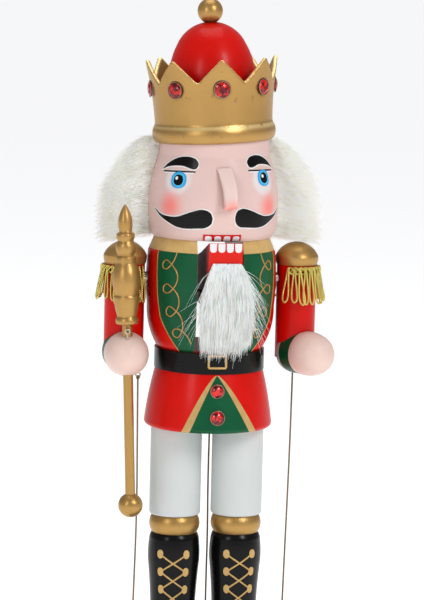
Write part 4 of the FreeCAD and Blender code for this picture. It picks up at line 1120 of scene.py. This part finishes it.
# waypoints in mm: X, Y, and how far below the cord's eye, the same routes as the CAD cords
CORD_DIAMETER, EYE_DROP = 1.0 * MM, 3.4 * MM
LEFT_CORD = [(48, 5, -3.4), (47.7, 4.7, -39), (47.0, 4.9, -79), (45.9, 4.5, -124), (45.2, 4.7, -162)]
RIGHT_CORD = [(-40.4, -8, -3.4), (-40.0, -8.1, -38), (-39.4, -7.9, -75), (-40.2, -8.2, -118), (-41.2, -8, -156)]
COAT_CORD = [(1.6, 2.5, -3.4), (1.4, 2.6, -32), (1.9, 2.4, -62), (1.6, 2.6, -96), (1.8, 2.5, -125)]


def make_cord(node, route, body):
    """A waxed cord that hangs from a screw eye, tied at the top and knotted at its loose end."""
    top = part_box(node)[1][2] + EYE_DROP
    points = [Vector((x * MM, y * MM, top + z * MM)) for x, y, z in route]
    curve = bpy.data.curves.new(node + "_thread", "CURVE")
    curve.dimensions = "3D"
    curve.bevel_depth = CORD_DIAMETER / 2
    curve.bevel_resolution = 3
    curve.use_fill_caps = True
    curve.resolution_u = 16
    spline = curve.splines.new("NURBS")
    spline.points.add(len(points) - 1)
    for point, place in zip(spline.points, points):
        point.co = (*place, 1)
    spline.order_u = 3
    spline.use_endpoint_u = True
    cord = bpy.data.objects.new(node + "_thread", curve)
    bpy.context.collection.objects.link(cord)
    finished(cord, node + "_thread", "waxed_cord", body)
    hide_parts(node)
    knots = []
    for end, rise, size in ((points[0], 0.3 * MM, 0.85), (points[-1], 1.2 * MM, 0.95)):
        end = end + Vector((0, 0, rise))
        path = []
        for k in range(25):
            turn = 2 * math.pi * k / 12
            path.append((end.x + size * 0.9 * MM * math.cos(turn) * (0.7 + 0.3 * math.cos(1.5 * turn)),
                         end.y + size * 0.9 * MM * math.sin(turn) * (0.7 + 0.3 * math.cos(1.5 * turn)),
                         end.z + size * 0.8 * MM * math.sin(1.5 * turn)))
        knots.append(path)
    knot = thread(knots, CORD_DIAMETER / 2, sides=1, resolution=2)
    finished(knot, node + "_knots", "waxed_cord", body)


# ---------------------------------------------------------------- whole figure

MATERIALS = {
    "gold_paint": gold_paint(), "red_paint": red_paint(), "black_paint": black_paint(),
    "white_paint": white_paint(), "green_paint": green_paint(), "bare_wood": bare_wood(),
    "steel": bare_metal("steel", (0.55, 0.55, 0.56), 0.35),
    "brass_wire": bare_metal("brass_wire", (0.52, 0.48, 0.36), 0.3),
    "red_stone": red_stone(), "bullion": bullion(),
    "line_gold": painted("line_gold", base=(0.60, 0.385, 0.145), rough=0.45, metallic=0.25, tone=0.08,
                         crevice_shade_amount=0.2),
    "setting": bare_metal("setting", (0.30, 0.22, 0.16), 0.35),
    "hair": fur("hair_fur", (0.985, 0.975, 0.93, 1), (0.86, 0.84, 0.75, 1), glow=0.07, grain=(0.3, 0.3, 1.0)),
    "hair_core": fur("hair_core_fur", (0.92, 0.91, 0.85, 1), (0.84, 0.83, 0.76, 1)),
    "beard": fur("beard_fur", (0.96, 0.95, 0.92, 1), (0.73, 0.715, 0.67, 1), glow=0.04, grain=(1.4, 1.4, 0.12)),
    "waxed_cord": waxed_cord(), "head_paint": head_paint(), "nose_paint": nose_paint(),
    "crown_paint": crown_paint(), "torso_paint": torso_paint(), "coat_paint": coat_paint(),
    "jaw_paint": jaw_paint(), "left_hand": hand_paint("left", 1), "right_hand": hand_paint("right", -1),
    "white_line": painted("white_line", base=(0.82, 0.79, 0.78), rough=0.4, gloss=0.05, tone=0.03, crevice_shade_amount=0.0),
    "tooth_paint": painted("tooth_paint", base=(0.78, 0.75, 0.76), rough=0.35, tone=0.05, crevice_shade_amount=0.0),
    "mouth_paint": painted("mouth_paint", base=(0.56, 0.010, 0.012), rough=0.35, tone=0.08, crevice_shade_amount=0.3),
    "blue_paint": painted("blue_paint", base=(0.025, 0.34, 0.72), rough=0.3, gloss=0.5, tone=0.1, crevice_shade_amount=0.0),
    "pale_blue_paint": painted("pale_blue_paint", base=(0.07, 0.48, 0.84), rough=0.3, gloss=0.5, tone=0.1,
                               crevice_shade_amount=0.0),
}
# slots whose paint has another name, and pieces painted differently from their slot
SLOT_PAINT = {"dark_cord": "waxed_cord", "white_fur": "hair", "flesh_paint": "head_paint"}
OWN_PAINT = {"nose": "nose_paint", "torso": "torso_paint", "coat_skirt": "coat_paint", "left_hand": "left_hand",
             "right_hand": "right_hand"}


def paint_nodes():
    """Every CAD piece gets its own paint, or its slot's."""
    for entry in frame["record"]["subparts"]:
        node, slot = entry["node"], entry["material_slot"]
        paint = OWN_PAINT.get(node, SLOT_PAINT.get(slot, slot))
        mesh = NODES[node].data
        mesh.materials.clear()
        mesh.materials.append(MATERIALS[paint])


def main():
    add_camera()
    add_studio()
    make_cord("left_cord", LEFT_CORD, "left_hanging_cord")
    make_cord("right_cord", RIGHT_CORD, "right_hanging_cord")
    make_cord("coat_cord", COAT_CORD, "figure")
    paint_nodes()
    softened("crown", "crown_paint", 0.62 * MM, 10)
    hook_nose(softened("nose", "nose_paint", 0.45 * MM, 12))
    softened("sceptre_finial", "gold_paint", 0.45 * MM, 8, body="right_arm")
    make_face()
    make_lower_teeth()
    make_vines()
    make_buckle()
    make_lacing()
    make_base_line()
    make_stones("crown_jewels", 8, [4.3], 0.9 * MM)
    make_stones("coat_jewels", 2, [3.55, 3.75], 0.9 * MM)
    for side, sign in SIDES:
        make_fringe(side, sign)
    make_hair()
    make_beard()


main()
